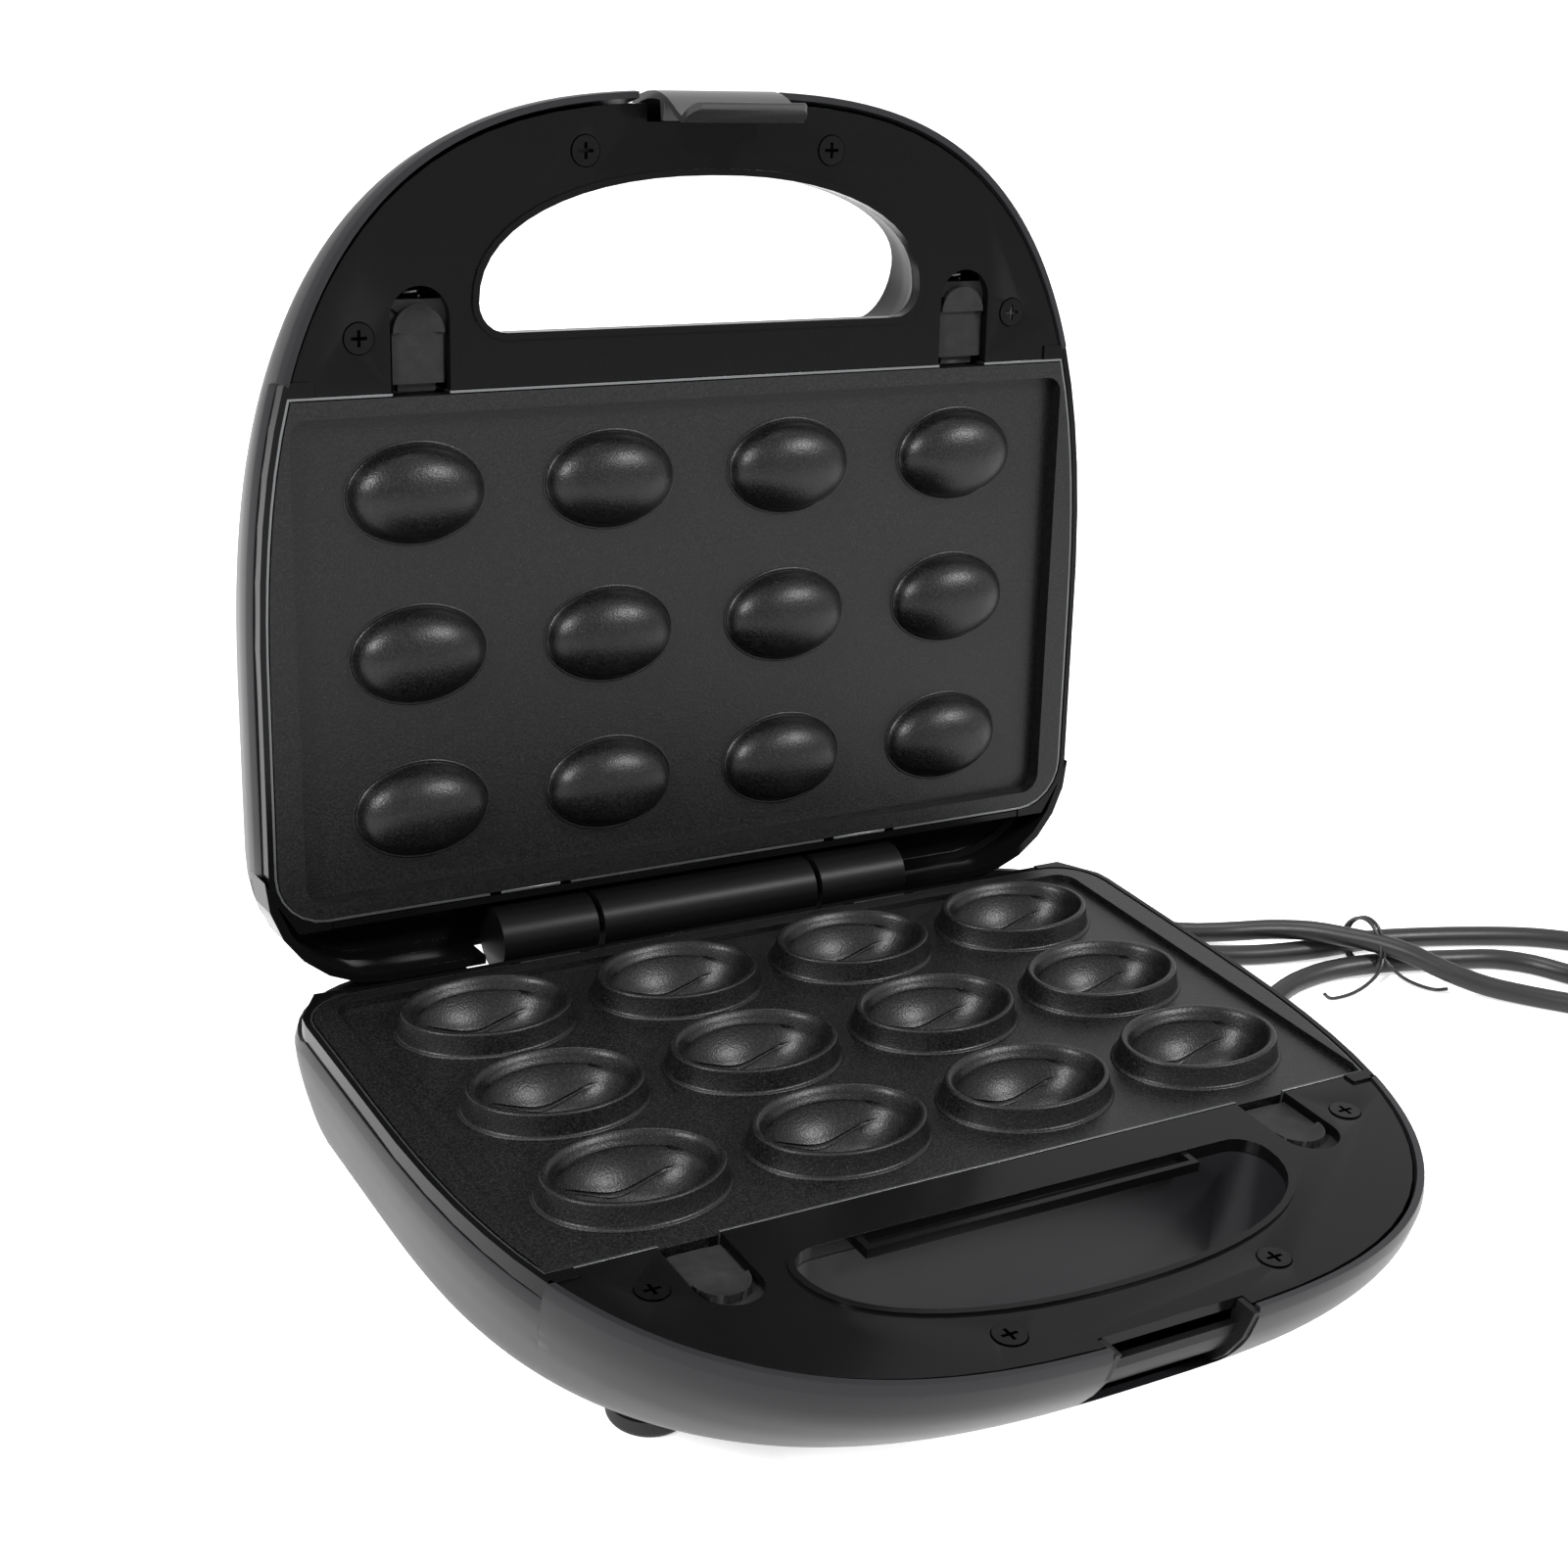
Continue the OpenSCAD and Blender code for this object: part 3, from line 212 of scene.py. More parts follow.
finishes = {
    "housing": mouldedPlastic("housingSatin", shade(0.009, 0.009, 0.010), shade(0.016, 0.016, 0.018), 0.36, 0.0005,
                              0.00002, 0.18),
    "cover": mouldedPlastic("coverGloss", shade(0.0022), shade(0.0036), 0.16, 0.0009, 0.000004, 0.1),
    "plate": coatedPlate(),
    "tray": brushedSheet("traySheet", shade(0.17, 0.175, 0.18), 0.38, (40, 40, 40)),
    "heater": brushedSheet("heaterTube", shade(0.16, 0.17, 0.15), 0.5),
    "steel": brushedSheet("zincSteel", shade(0.24, 0.245, 0.25), 0.34),
    "blackScrew": brushedSheet("blackenedSteel", shade(0.012, 0.012, 0.0125), 0.35, (30, 30, 30)),
    "spring": brushedSheet("springWire", shade(0.12, 0.12, 0.122), 0.34, (30, 30, 30)),
    "latch": mouldedPlastic("latchTexture", shade(0.004, 0.0041, 0.0041), shade(0.024, 0.0245, 0.024), 0.5, 0.0006,
                            0.00008, 0.12, 0.0035),
    "clip": mouldedPlastic("clipSatin", shade(0.018, 0.018, 0.019), shade(0.024, 0.024, 0.025), 0.28, 0.0005,
                           0.00002, 0.4),
    # hinge plastic: its own satin black, darkened further with painted shade for the shade that falls on the hinge
    # between the halves
    "hinge": mouldedPlastic("hingeSatinPaintedShade", shade(0.0015), shade(0.003), 0.36, 0.0005, 0.00003, 0.1),
    "insert": mouldedPlastic("insertBlack", shade(0.003), shade(0.006), 0.5, 0.0006, 0.00002, 0.12),
    "rubber": dullRubber("footRubber", shade(0.008), 0.62),
    "cord": dullRubber("cordSheath", shade(0.006), 0.4),
    "tie": mouldedPlastic("tieCoating", shade(0.006), shade(0.012), 0.38, 0.0008, 0.00003),
    "brass": brushedSheet("plugBrass", shade(0.76, 0.6, 0.3), 0.26),
    "terminal": mouldedPlastic("terminalNatural", shade(0.62, 0.6, 0.53), shade(0.74, 0.72, 0.66), 0.45, 0.001,
                               0.00004),
    "sleeve": mouldedPlastic("wireSleeve", shade(0.3, 0.035, 0.02), shade(0.42, 0.07, 0.045), 0.6, 0.0006, 0.0001),
    "ceramic": mouldedPlastic("ceramicBody", shade(0.66, 0.64, 0.58), shade(0.8, 0.78, 0.73), 0.55, 0.0008, 0.00005),
    "redLens": clearLens("redLens", shade(0.5, 0.012, 0.008)),
    "greenLens": clearLens("greenLens", shade(0.015, 0.32, 0.05)),
    "lamp": mouldedPlastic("lampGlass", shade(0.6, 0.5, 0.42), shade(0.75, 0.68, 0.6), 0.1, 0.002, 0.00001, 0.5),
}


# placing: a half is modelled with its third axis as the distance from the plane where the halves meet
baseFrame = Matrix.Translation((0, 0, body["meet"] * mm)) @ Matrix.Diagonal((mm, mm, -mm, 1))
hingePoint = Vector((0, body["hingeBack"], body["meet"] + body["hingeUp"])) * mm
lidFrame = (Matrix.Translation(hingePoint) @ Matrix.Rotation(math.radians(-body["openAngle"]), 4, "X")
            @ Matrix.Translation(-hingePoint) @ Matrix.Translation((0, 0, body["meet"] * mm))
            @ Matrix.Diagonal((mm, mm, mm, 1)))
tableFrame = Matrix.Diagonal((mm, mm, mm, 1))
unmoved = Matrix.Identity(4)


def power(value, exponent):
    return math.copysign(abs(value) ** exponent, value)


def arc(cx, cy, radius, start, stop, steps):
    return [(cx + radius * math.cos(math.radians(start + (stop - start) * i / steps)),
             cy + radius * math.sin(math.radians(start + (stop - start) * i / steps))) for i in range(steps + 1)]


def ringFrom(bm, points):
    corners = [bm.verts.new(p) for p in points]
    edges = [bm.edges.new((corners[i - 1], corners[i])) for i in range(1, len(corners))]
    edges.append(bm.edges.new((corners[-1], corners[0])))
    return corners, edges


def curvePoint(points, i, t):
    # a smooth curve through the points, from point i to the next
    last = len(points) - 1
    p0, p1, p2, p3 = (Vector(points[max(0, min(last, k))]) for k in (i - 1, i, i + 1, i + 2))
    return 0.5 * (2 * p1 + (p2 - p0) * t + (2 * p0 - 5 * p1 + 4 * p2 - p3) * t ** 2
                  + (3 * p1 - p0 - 3 * p2 + p3) * t ** 3)


def smoothPath(points, steps):
    path = [curvePoint(points, i, k / steps) for i in range(len(points) - 1) for k in range(steps)]
    return path + [Vector(points[-1])]


def loft(bm, rings):
    # a closed solid: the first ring is drawn, the others are pulled out of it one by one
    corners, edges = ringFrom(bm, rings[0])
    bmesh.ops.contextual_create(bm, geom=edges)
    for points in rings[1:]:
        pulled = bmesh.ops.extrude_edge_only(bm, edges=edges)["geom"]
        fresh = {v for v in pulled if isinstance(v, bmesh.types.BMVert)}
        corners = [next(e.other_vert(v) for e in v.link_edges if e.other_vert(v) in fresh) for v in corners]
        for corner, point in zip(corners, points):
            corner.co = point
        count = len(corners)
        edges = [bm.edges.get((corners[i], corners[(i + 1) % count])) for i in range(count)]
    bmesh.ops.contextual_create(bm, geom=edges)


def prism(bm, points, low, high):
    loft(bm, [[(x, y, low) for x, y in points], [(x, y, high) for x, y in points]])


def box(bm, x0, x1, y0, y1, z0, z1):
    made = bmesh.ops.create_cube(bm, size=1)["verts"]
    size = Vector((x1 - x0, y1 - y0, z1 - z0))
    middle = Vector((x1 + x0, y1 + y0, z1 + z0)) / 2
    bmesh.ops.transform(bm, matrix=Matrix.Translation(middle) @ Matrix.Diagonal((*size, 1)), verts=made)


def cylinder(bm, x, y, z0, z1, radius):
    bmesh.ops.create_cone(bm, cap_ends=True, segments=40, radius1=radius, radius2=radius, depth=z1 - z0,
                          matrix=Matrix.Translation((x, y, (z0 + z1) / 2)))


def meshFrom(piece):
    # the piece's mesh, open for work again, with the piece itself taken away
    bm = bmesh.new()
    bm.from_mesh(piece.data)
    bpy.data.objects.remove(piece)
    return bm


def meshPiece(name, bm, place, sharp=34, keepNormals=False):
    bm.transform(place)
    bmesh.ops.remove_doubles(bm, verts=bm.verts, dist=weld)
    if not keepNormals:
        bmesh.ops.recalc_face_normals(bm, faces=bm.faces)
    mesh = bpy.data.meshes.new(name)
    bm.to_mesh(mesh)
    bm.free()
    mesh.shade_smooth()
    mesh.set_sharp_from_angle(angle=math.radians(sharp))
    piece = bpy.data.objects.new(name, mesh)
    bpy.context.scene.collection.objects.link(piece)
    return piece


def roundEdges(piece, width, segments=2, limit=38):
    bevel = piece.modifiers.new("roundEdges", "BEVEL")
    bevel.width = width * mm
    bevel.segments = segments
    bevel.limit_method = "ANGLE"
    bevel.angle_limit = math.radians(limit)
    bevel.use_clamp_overlap = True


def settle(piece):
    # the modifiers become part of the mesh
    graph = bpy.context.evaluated_depsgraph_get()
    mesh = bpy.data.meshes.new_from_object(piece.evaluated_get(graph))
    old = piece.data
    piece.modifiers.clear()
    piece.data = mesh
    bpy.data.meshes.remove(old)


def carve(piece, cutter, operation="DIFFERENCE"):
    cut = piece.modifiers.new("carve", "BOOLEAN")
    cut.operation = operation
    cut.solver = "EXACT"
    cut.object = cutter
    settle(piece)
    bpy.data.objects.remove(cutter)


def dress(piece, finish, bodyName, slotName, *replaced):
    piece.data.materials.clear()
    piece.data.materials.append(finishes[finish])
    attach(piece, bodyName)
    if replaced:
        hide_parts(*replaced)
    return piece


def refined(node, name, finish, bodyName, slotName, edge, segments=2):
    # a copy of a solid with clean faces and softened edges
    bm = bmesh.new()
    bm.from_mesh(nodes[node].data)
    bmesh.ops.remove_doubles(bm, verts=bm.verts, dist=weld)
    bmesh.ops.dissolve_limit(bm, angle_limit=math.radians(1), verts=bm.verts, edges=bm.edges,
                             delimit={"NORMAL"})
    piece = meshPiece(name, bm, unmoved, 32, True)
    if edge:
        roundEdges(piece, edge, segments)
    return dress(piece, finish, bodyName, slotName, node)


# outer housings; a level is a distance from the meeting plane, a side inset and a front inset
shell = dict(levels=[(0.2, 0, 0), (8.5, 0, 2.5), (15, 1, 6.5), (21, 2.5, 12), (29, 5, 22), (34, 7.5, 32),
                     (37, 12, 42), (38.5, 19, 50)],
             levelSteps=8, frontSteps=96, cornerSteps=12, bevelDepth=0.8,
             bevel=[(1, 0), (0.85, 0.25), (0.12, 2.4), (0, 2.9)],
             frontDrop=0.2, sideDrop=4.5, handleBack=66, rearStart=50.05, baseRear=9.5, lidRear=11,
             rearLip=3.6, lipStart=63.5, outerFrom=0.17, innerFrom=0.1)


def bodyPoints(side, front, rear):
    # the outline set in at the sides, the front and the rear; two points close together keep each step sharp
    a = body["halfWidth"] - side
    b = body["front"] - front
    r = body["cornerRadius"] - min(side, rear)
    back = body["rear"] - rear
    e = 2 / body["square"]
    step = math.degrees(math.asin(((shell["handleBack"] + body["middle"]) / body["front"]) ** (1 / e)))
    angles = [180 + 180 * i / shell["frontSteps"] for i in range(1, shell["frontSteps"])]
    clear, near = 0.4, 0.02
    angles = sorted([t for t in angles if min(abs(t - 180 - step), abs(t - 360 + step)) > clear]
                    + [180 + step - near, 180 + step + near, 360 - step - near, 360 - step + near])
    right = [(a, body["middle"] + (back - r - body["middle"]) * i / 3) for i in range(3)]
    points = right + arc(a - r, back - r, r, 0, 90, shell["cornerSteps"])
    points += [(sign * (shell["lipStart"] + half), back)
               for sign, half in ((1, 0.5), (1, -0.5), (-1, -0.5), (-1, 0.5))]
    points += arc(r - a, back - r, r, 90, 180, shell["cornerSteps"]) + [(-x, y) for x, y in reversed(right)]
    points += [(a * power(math.cos(math.radians(t)), e), body["middle"] + b * power(math.sin(math.radians(t)), e))
               for t in angles]
    return points


def shellTable(depth):
    # a smooth curve through the levels, moved to a housing of this depth
    extra = depth - shell["levels"][-1][0]
    moved = [shell["levels"][0]] + [(u + extra, s, f) for u, s, f in shell["levels"][1:]]
    return smoothPath(moved, shell["levelSteps"])


def shellInset(table, height):
    for low, high in zip(table, table[1:]):
        if height <= high[0]:
            t = max(0, (height - low[0]) / max(1e-6, high[0] - low[0]))
            return low[1] + (high[1] - low[1]) * t, low[2] + (high[2] - low[2]) * t
    return table[-1][1], table[-1][2]


def edgeHeight(x, y, rear):
    # how far the housing's edge stands back from the meeting plane
    if y < -shell["handleBack"]:
        return shell["frontDrop"]
    if y < shell["rearStart"]:
        return shell["sideDrop"]
    raised = rear == shell["baseRear"] and abs(x) > shell["lipStart"]
    return rear - shell["rearLip"] * raised


def housingRings(depth, rear):
    table = shellTable(depth)
    top = [edgeHeight(x, y, rear) for x, y in bodyPoints(0, 0, 0)]
    heights = [row[0] for row in table]
    count = len(top)
    cache = {}

    def ring(inset, share, drop):
        points = []
        for i in range(count):
            u = top[i] + (depth - top[i]) * share + drop
            key = round(u, 3), round(inset, 3)
            if key not in cache:
                s, f = shellInset(table, u)
                cache[key] = bodyPoints(s + inset, f + inset, s + inset)
            x, y = cache[key][i]
            points.append((x, y, u))
        return points

    shares = [(h - heights[0]) / (depth - heights[0]) for h in heights]
    outside = [ring(shell["bevelDepth"] * inset, 0, drop) for inset, drop in shell["bevel"]]
    outside += [ring(0, share, 0) for share in shares if share > shell["outerFrom"]]
    inside = [ring(body["wall"], share, 0) for share in shares[::3] if share > shell["innerFrom"]]
    return outside, inside, ring(body["wall"], 0, 0)


# finger slot: a round front, a straight back with small corners
slot = dict(centre=-82, half=60, front=28, square=2.2, corner=7, cornerSteps=10, frontSteps=48, skirt=3.5, wall=2)


def slotPoints(grow):
    angles = [math.radians(180 + 180 * i / slot["frontSteps"]) for i in range(1, slot["frontSteps"])]
    bend = 2 / slot["square"]
    front = [((slot["half"] + grow) * power(math.cos(t), bend),
              slot["centre"] + (slot["front"] + grow) * power(math.sin(t), bend)) for t in angles]
    x, r, steps = slot["half"] - slot["corner"], slot["corner"] + grow, slot["cornerSteps"]
    return arc(x, slot["centre"], r, 0, 90, steps) + arc(-x, slot["centre"], r, 90, 180, steps) + front


def cutterOf(fill):
    bm = bmesh.new()
    fill(bm)
    return meshPiece("cutter", bm, unmoved)


# how the finger slot opens towards the outside: height, growth of each end, growth at the back
slotFlare = dict(base=[(-3, 0, 0), (46, 0, 0)],
                 lid=[(-3, 0, 0), (4, 0, 0), (8, 2.4, 1.4), (12, 5, 2.8), (18, 8.8, 4.2), (24, 12, 5), (30, 13.6, 5),
                      (46, 14, 5)])


def slotTunnel(bm, flare, grow, low):
    half, centre, corner = slot["half"], slot["centre"], slot["corner"]
    loft(bm, [[(x * (half + ends) / half, y + back * max(0, (y - centre) / corner), max(u, low))
               for x, y in slotPoints(grow)] for u, ends, back in flare])


def housing(name, depth, rear, place, bodyName, node, flare, extra, cuts):
    outside, inside, rim = housingRings(depth, rear)
    solid = bmesh.new()
    loft(solid, outside)
    core = meshPiece("core", solid, unmoved)
    bm = bmesh.new()
    floor = [[(x, y, u - body["wall"]) for x, y, u in ring] for ring in inside[-1:]]
    loft(bm, list(reversed(outside)) + [rim] + [[(x, y, min(u, depth - body["wall"])) for x, y, u in ring]
                                                 for ring in inside[:-1]] + floor)
    piece = meshPiece(name, bm, unmoved)
    # the tunnel's wall starts a little under the cover
    wallRows = [(slot["skirt"], 0, 0)] + [row for row in flare if row[0] > slot["skirt"] + 0.5]
    tunnel = cutterOf(lambda b: slotTunnel(b, wallRows, slot["wall"], slot["skirt"]))
    carve(tunnel, core, "INTERSECT")
    carve(piece, tunnel, "UNION")
    carve(piece, cutterOf(lambda b: slotTunnel(b, flare, 0, -3)))
    if extra:
        carve(piece, cutterOf(extra), "UNION")
    for cut in cuts:
        carve(piece, cutterOf(cut))
    return dress(meshPiece(name, meshFrom(piece), place, 30), "housing", bodyName, "housing_skin", node)


# openings in the housings: box corners where the clip closes, places and radii for the round ones
opening = dict(catch=(-18, 18, -132, -113, -2, 19), clip=(-19.5, 19.5, -132, -112, -1, 22),
               feet=[(x, y) for x in (-80, 80) for y in (-60, 60)], footBore=3, footBoss=8.2, bossTop=31.5,
               gland=(70, 76, 23), glandBore=5, glandDepth=16, lamps=[(-12, -40), (12, -40)], lampBore=3.5)


def footBosses(bm):
    for x, y in opening["feet"]:
        cylinder(bm, x, y, opening["bossTop"], body["baseDepth"], opening["footBoss"])


def footBores(bm):
    for x, y in opening["feet"]:
        cylinder(bm, x, y, 30, 40, opening["footBore"])


def glandBore(bm):
    place = Matrix.Translation(opening["gland"]) @ Matrix.Rotation(math.pi / 2, 4, "X")
    bmesh.ops.create_cone(bm, cap_ends=True, segments=40, radius1=opening["glandBore"], radius2=opening["glandBore"],
                          depth=opening["glandDepth"], matrix=place)


def lampBores(bm):
    for x, y in opening["lamps"]:
        cylinder(bm, x, y, 30, 44, opening["lampBore"])


print("housings: base and lid shells")
housing("baseHousing", body["baseDepth"], shell["baseRear"], baseFrame, "base", "lower_housing", slotFlare["base"],
        footBosses, [lambda bm: box(bm, *opening["catch"]), footBores, glandBore])
housing("lidHousing", body["lidDepth"], shell["lidRear"], lidFrame, "lid", "upper_housing", slotFlare["lid"],
        None, [lambda bm: box(bm, *opening["clip"]), lampBores])


# cooking plates, with the two tongues that the latches hold
plates = dict(halfDepth=61.5, inset=3.4, cornerRadius=12, top=0.3, thickness=3, lowField=2, upField=4, fieldHalf=106,
              rail=4, pitchX=50, pitchY=38.5, tongueX=74.3, tongueHalf=5, tongueReach=2.8, tongueRoot=4,
              tongue=(5.9, 7.9), root=(2, 7.8), edge=0.45)
cup = dict(a=20.6, b=14.5, rim=3.5, around=88, clearance=0.6)
# outside of a cup from inside the plate up to the rim: growth in length, growth in width, height
cupFoot = [(-13, -9.8, 12.6), (-7.4, -5.6, 11.1), (-3, -2.4, 8.6), (-0.1, -0.1, 5.1), (1.9, 1.9, 2.1),
           (1.88, 1.88, 1.84), (1.7, 1.7, 1.66), (1.42, 1.42, 1.6), (1.2, 1.2, 1.5), (0.98, 0.98, 1.1)]
# the rim: inset and depth below the top
cupRim = [(-0.12, 0.5), (-0.06, 0.26), (0.12, 0.06), (0.3, 0), (1.02, 0.02), (1.2, 0.1), (1.36, 0.3)]
# bowl profile as depth below the rim, half length and half width
bowlProfile = [(0, 19.2, 13.1), (1, 18.7, 12.6), (4.4, 17.4, 11.6), (8.3, 14.8, 9.6), (11.5, 10.8, 6.7),
               (13.1, 6, 3.5), (13.5, 2, 1.2), (13.52, 0.3, 0.2)]
# creases on the bowl's long sides: depth in the middle, depth near the ends, how far the wall stands in
creases = [(0.5, 0.5, 0), (1.3, 1.3, 0.08), (2.0, 2.3, 0.28), (2.5, 2.95, 0.5), (2.62, 3.1, 0.5), (2.85, 3.4, -0.12),
           (3.2, 3.9, -0.1), (4.6, 4.7, 0.0), (6.4, 5.6, 0.1), (8.4, 6.6, 0.3), (9.7, 7.2, 0.48), (10.3, 7.5, 0.58),
           (10.45, 7.65, 0.58), (10.75, 7.95, -0.06), (11.1, 8.2, 0.12), (11.35, 8.4, 0.3), (11.45, 8.5, 0.3),
           (11.7, 8.85, -0.1), (12.1, 10.2, 0), (12.6, 11.6, 0), (13.0, 12.6, 0), (13.3, 13.2, 0), (13.46, 13.45, 0)]


def platePoints(steps=22):
    # the plate follows the housing's outline, with straight front and rear edges
    a = body["halfWidth"] - plates["inset"]
    b = body["front"] - plates["inset"]
    d = plates["halfDepth"]
    r = plates["cornerRadius"]
    n = body["square"]
    run = [(body["middle"] + d) * i / steps for i in range(steps + 1)]
    side = [(a * (1 - (t / b) ** n) ** (1 / n), body["middle"] - t) for t in run]
    return (list(reversed(side)) + arc(a - r, d - r, r, 0, 90, 10) + arc(r - a, d - r, r, 90, 180, 10)
            + [(-x, y) for x, y in side])


def fieldPoints(railFront):
    # the sunk field, open at the front where the plate has no rail there
    d = plates["halfDepth"] - plates["rail"]
    f = d if railFront else plates["halfDepth"] + 2
    w, near, far = plates["fieldHalf"], 4, 5
    front = arc(w - near, near - f, near, -90, 0, 6) if railFront else [(w, -f)]
    frontLeft = arc(near - w, near - f, near, 180, 270, 6) if railFront else [(-w, -f)]
    return front + arc(w - far, d - far, far, 0, 90, 6) + arc(far - w, d - far, far, 90, 180, 6) + frontLeft


def oval(a, b, height, steps=88):
    return [(a * math.cos(2 * math.pi * k / steps), b * math.sin(2 * math.pi * k / steps), height)
            for k in range(steps)]


def bowlSize(depth):
    for (d0, a0, b0), (d1, a1, b1) in zip(bowlProfile, bowlProfile[1:]):
        if depth <= d1:
            t = (depth - d0) / (d1 - d0)
            return a0 + (a1 - a0) * t, b0 + (b1 - b0) * t
    return bowlProfile[-1][1:]


# how a crease bends down towards its ends and fades out there
bowlBend = dict(half=18, endAt=12.4, most=1.5, fadeFrom=15.2, fadeOver=5.2, stand=1.25, lengthShare=0.5)


def bowlRing(middle, end, standIn):
    points = []
    for k in range(cup["around"]):
        angle = 2 * math.pi * k / cup["around"]
        along = bowlBend["half"] * math.cos(angle)
        depth = middle + (end - middle) * min(bowlBend["most"], (along / bowlBend["endAt"]) ** 2)
        fade = max(0.0, min(1.0, (bowlBend["fadeFrom"] - abs(along)) / bowlBend["fadeOver"]))
        shift = standIn * bowlBend["stand"] * fade * fade * (3 - 2 * fade)
        a, b = bowlSize(depth)
        points.append(((a - shift * bowlBend["lengthShare"]) * math.cos(angle), (b - shift) * math.sin(angle),
                       depth - cup["rim"]))
    return points


def cupShape(bm):
    a, b = cup["a"], cup["b"]
    rings = [oval(a + long, b + wide, height) for long, wide, height in cupFoot]
    rings += [oval(a - inset, b - inset, drop - cup["rim"]) for inset, drop in cupRim]
    loft(bm, rings + [bowlRing(*crease) for crease in creases])


# a dome and the ring at its foot: growth and height above the field
dome = dict(a=16.6, b=11.2, height=8.0, rows=14, start=4, sweep=84, round=0.9, around=64)
domeFoot = [(0, 1), (1.15, 0.05), (1.1, -0.2), (0.95, -0.3), (0.6, -0.3), (0.4, -0.16)]


def domeShape(bm):
    a, b, field, around = dome["a"], dome["b"], plates["upField"], dome["around"]
    rings = [oval(a + grow, b + grow, field + height, around) for grow, height in domeFoot]
    for i in range(dome["rows"]):
        angle = math.radians(dome["start"] + dome["sweep"] * i / (dome["rows"] - 1))
        share = math.cos(angle) ** dome["round"]
        rings.append(oval(a * share, b * share, field - dome["height"] * math.sin(angle), around))
    loft(bm, rings)


cupPlaces = [((i - 1.5) * plates["pitchX"], (j - 1) * plates["pitchY"]) for i in range(4) for j in range(3)]


def atCups(bm, shape):
    for x, y in cupPlaces:
        single = bmesh.new()
        shape(single)
        bmesh.ops.recalc_face_normals(single, faces=single.faces)
        bmesh.ops.translate(single, verts=single.verts, vec=(x, y, 0))
        scratch = bpy.data.meshes.new("scratch")
        single.to_mesh(scratch)
        single.free()
        bm.from_mesh(scratch)
        bpy.data.meshes.remove(scratch)


def cupHoles(bm):
    grow = cup["clearance"]
    for x, y in cupPlaces:
        prism(bm, [(x + p[0], y + p[1]) for p in oval(cup["a"] + grow, cup["b"] + grow, 0)], -4, 12)


def cookingPlate(name, field, railFront, shape, place, bodyName, node, pierced):
    sheet = bmesh.new()
    prism(sheet, platePoints(), plates["top"], field + plates["thickness"])
    piece = meshPiece(name, sheet, unmoved)
    carve(piece, cutterOf(lambda bm: prism(bm, fieldPoints(railFront), -4, field)))
    if pierced:
        carve(piece, cutterOf(cupHoles))
    clean = meshFrom(piece)
    bmesh.ops.dissolve_limit(clean, angle_limit=math.radians(0.5), verts=clean.verts, edges=clean.edges)
    piece = meshPiece(name, clean, unmoved)
    roundEdges(piece, plates["edge"], 3, 40)
    settle(piece)
    whole = meshFrom(piece)
    front, half = -plates["halfDepth"], plates["tongueHalf"]
    for x in (-plates["tongueX"], plates["tongueX"]):
        box(whole, x - half, x + half, front - plates["tongueReach"], front + plates["tongueRoot"], *plates["tongue"])
        low, high = plates["root"]
        box(whole, x - half, x + half, front, front + plates["tongueRoot"], field + low, high)
    atCups(whole, shape)
    return dress(meshPiece(name, whole, place, 42), "plate", bodyName, "plate_coating", node)


print("plates: cups with creased bowls, domes")
cookingPlate("basePlate", plates["lowField"], False, cupShape, baseFrame, "base", "lower_plate", True)
cookingPlate("lidPlate", plates["upField"], True, domeShape, lidFrame, "lid", "upper_plate", False)

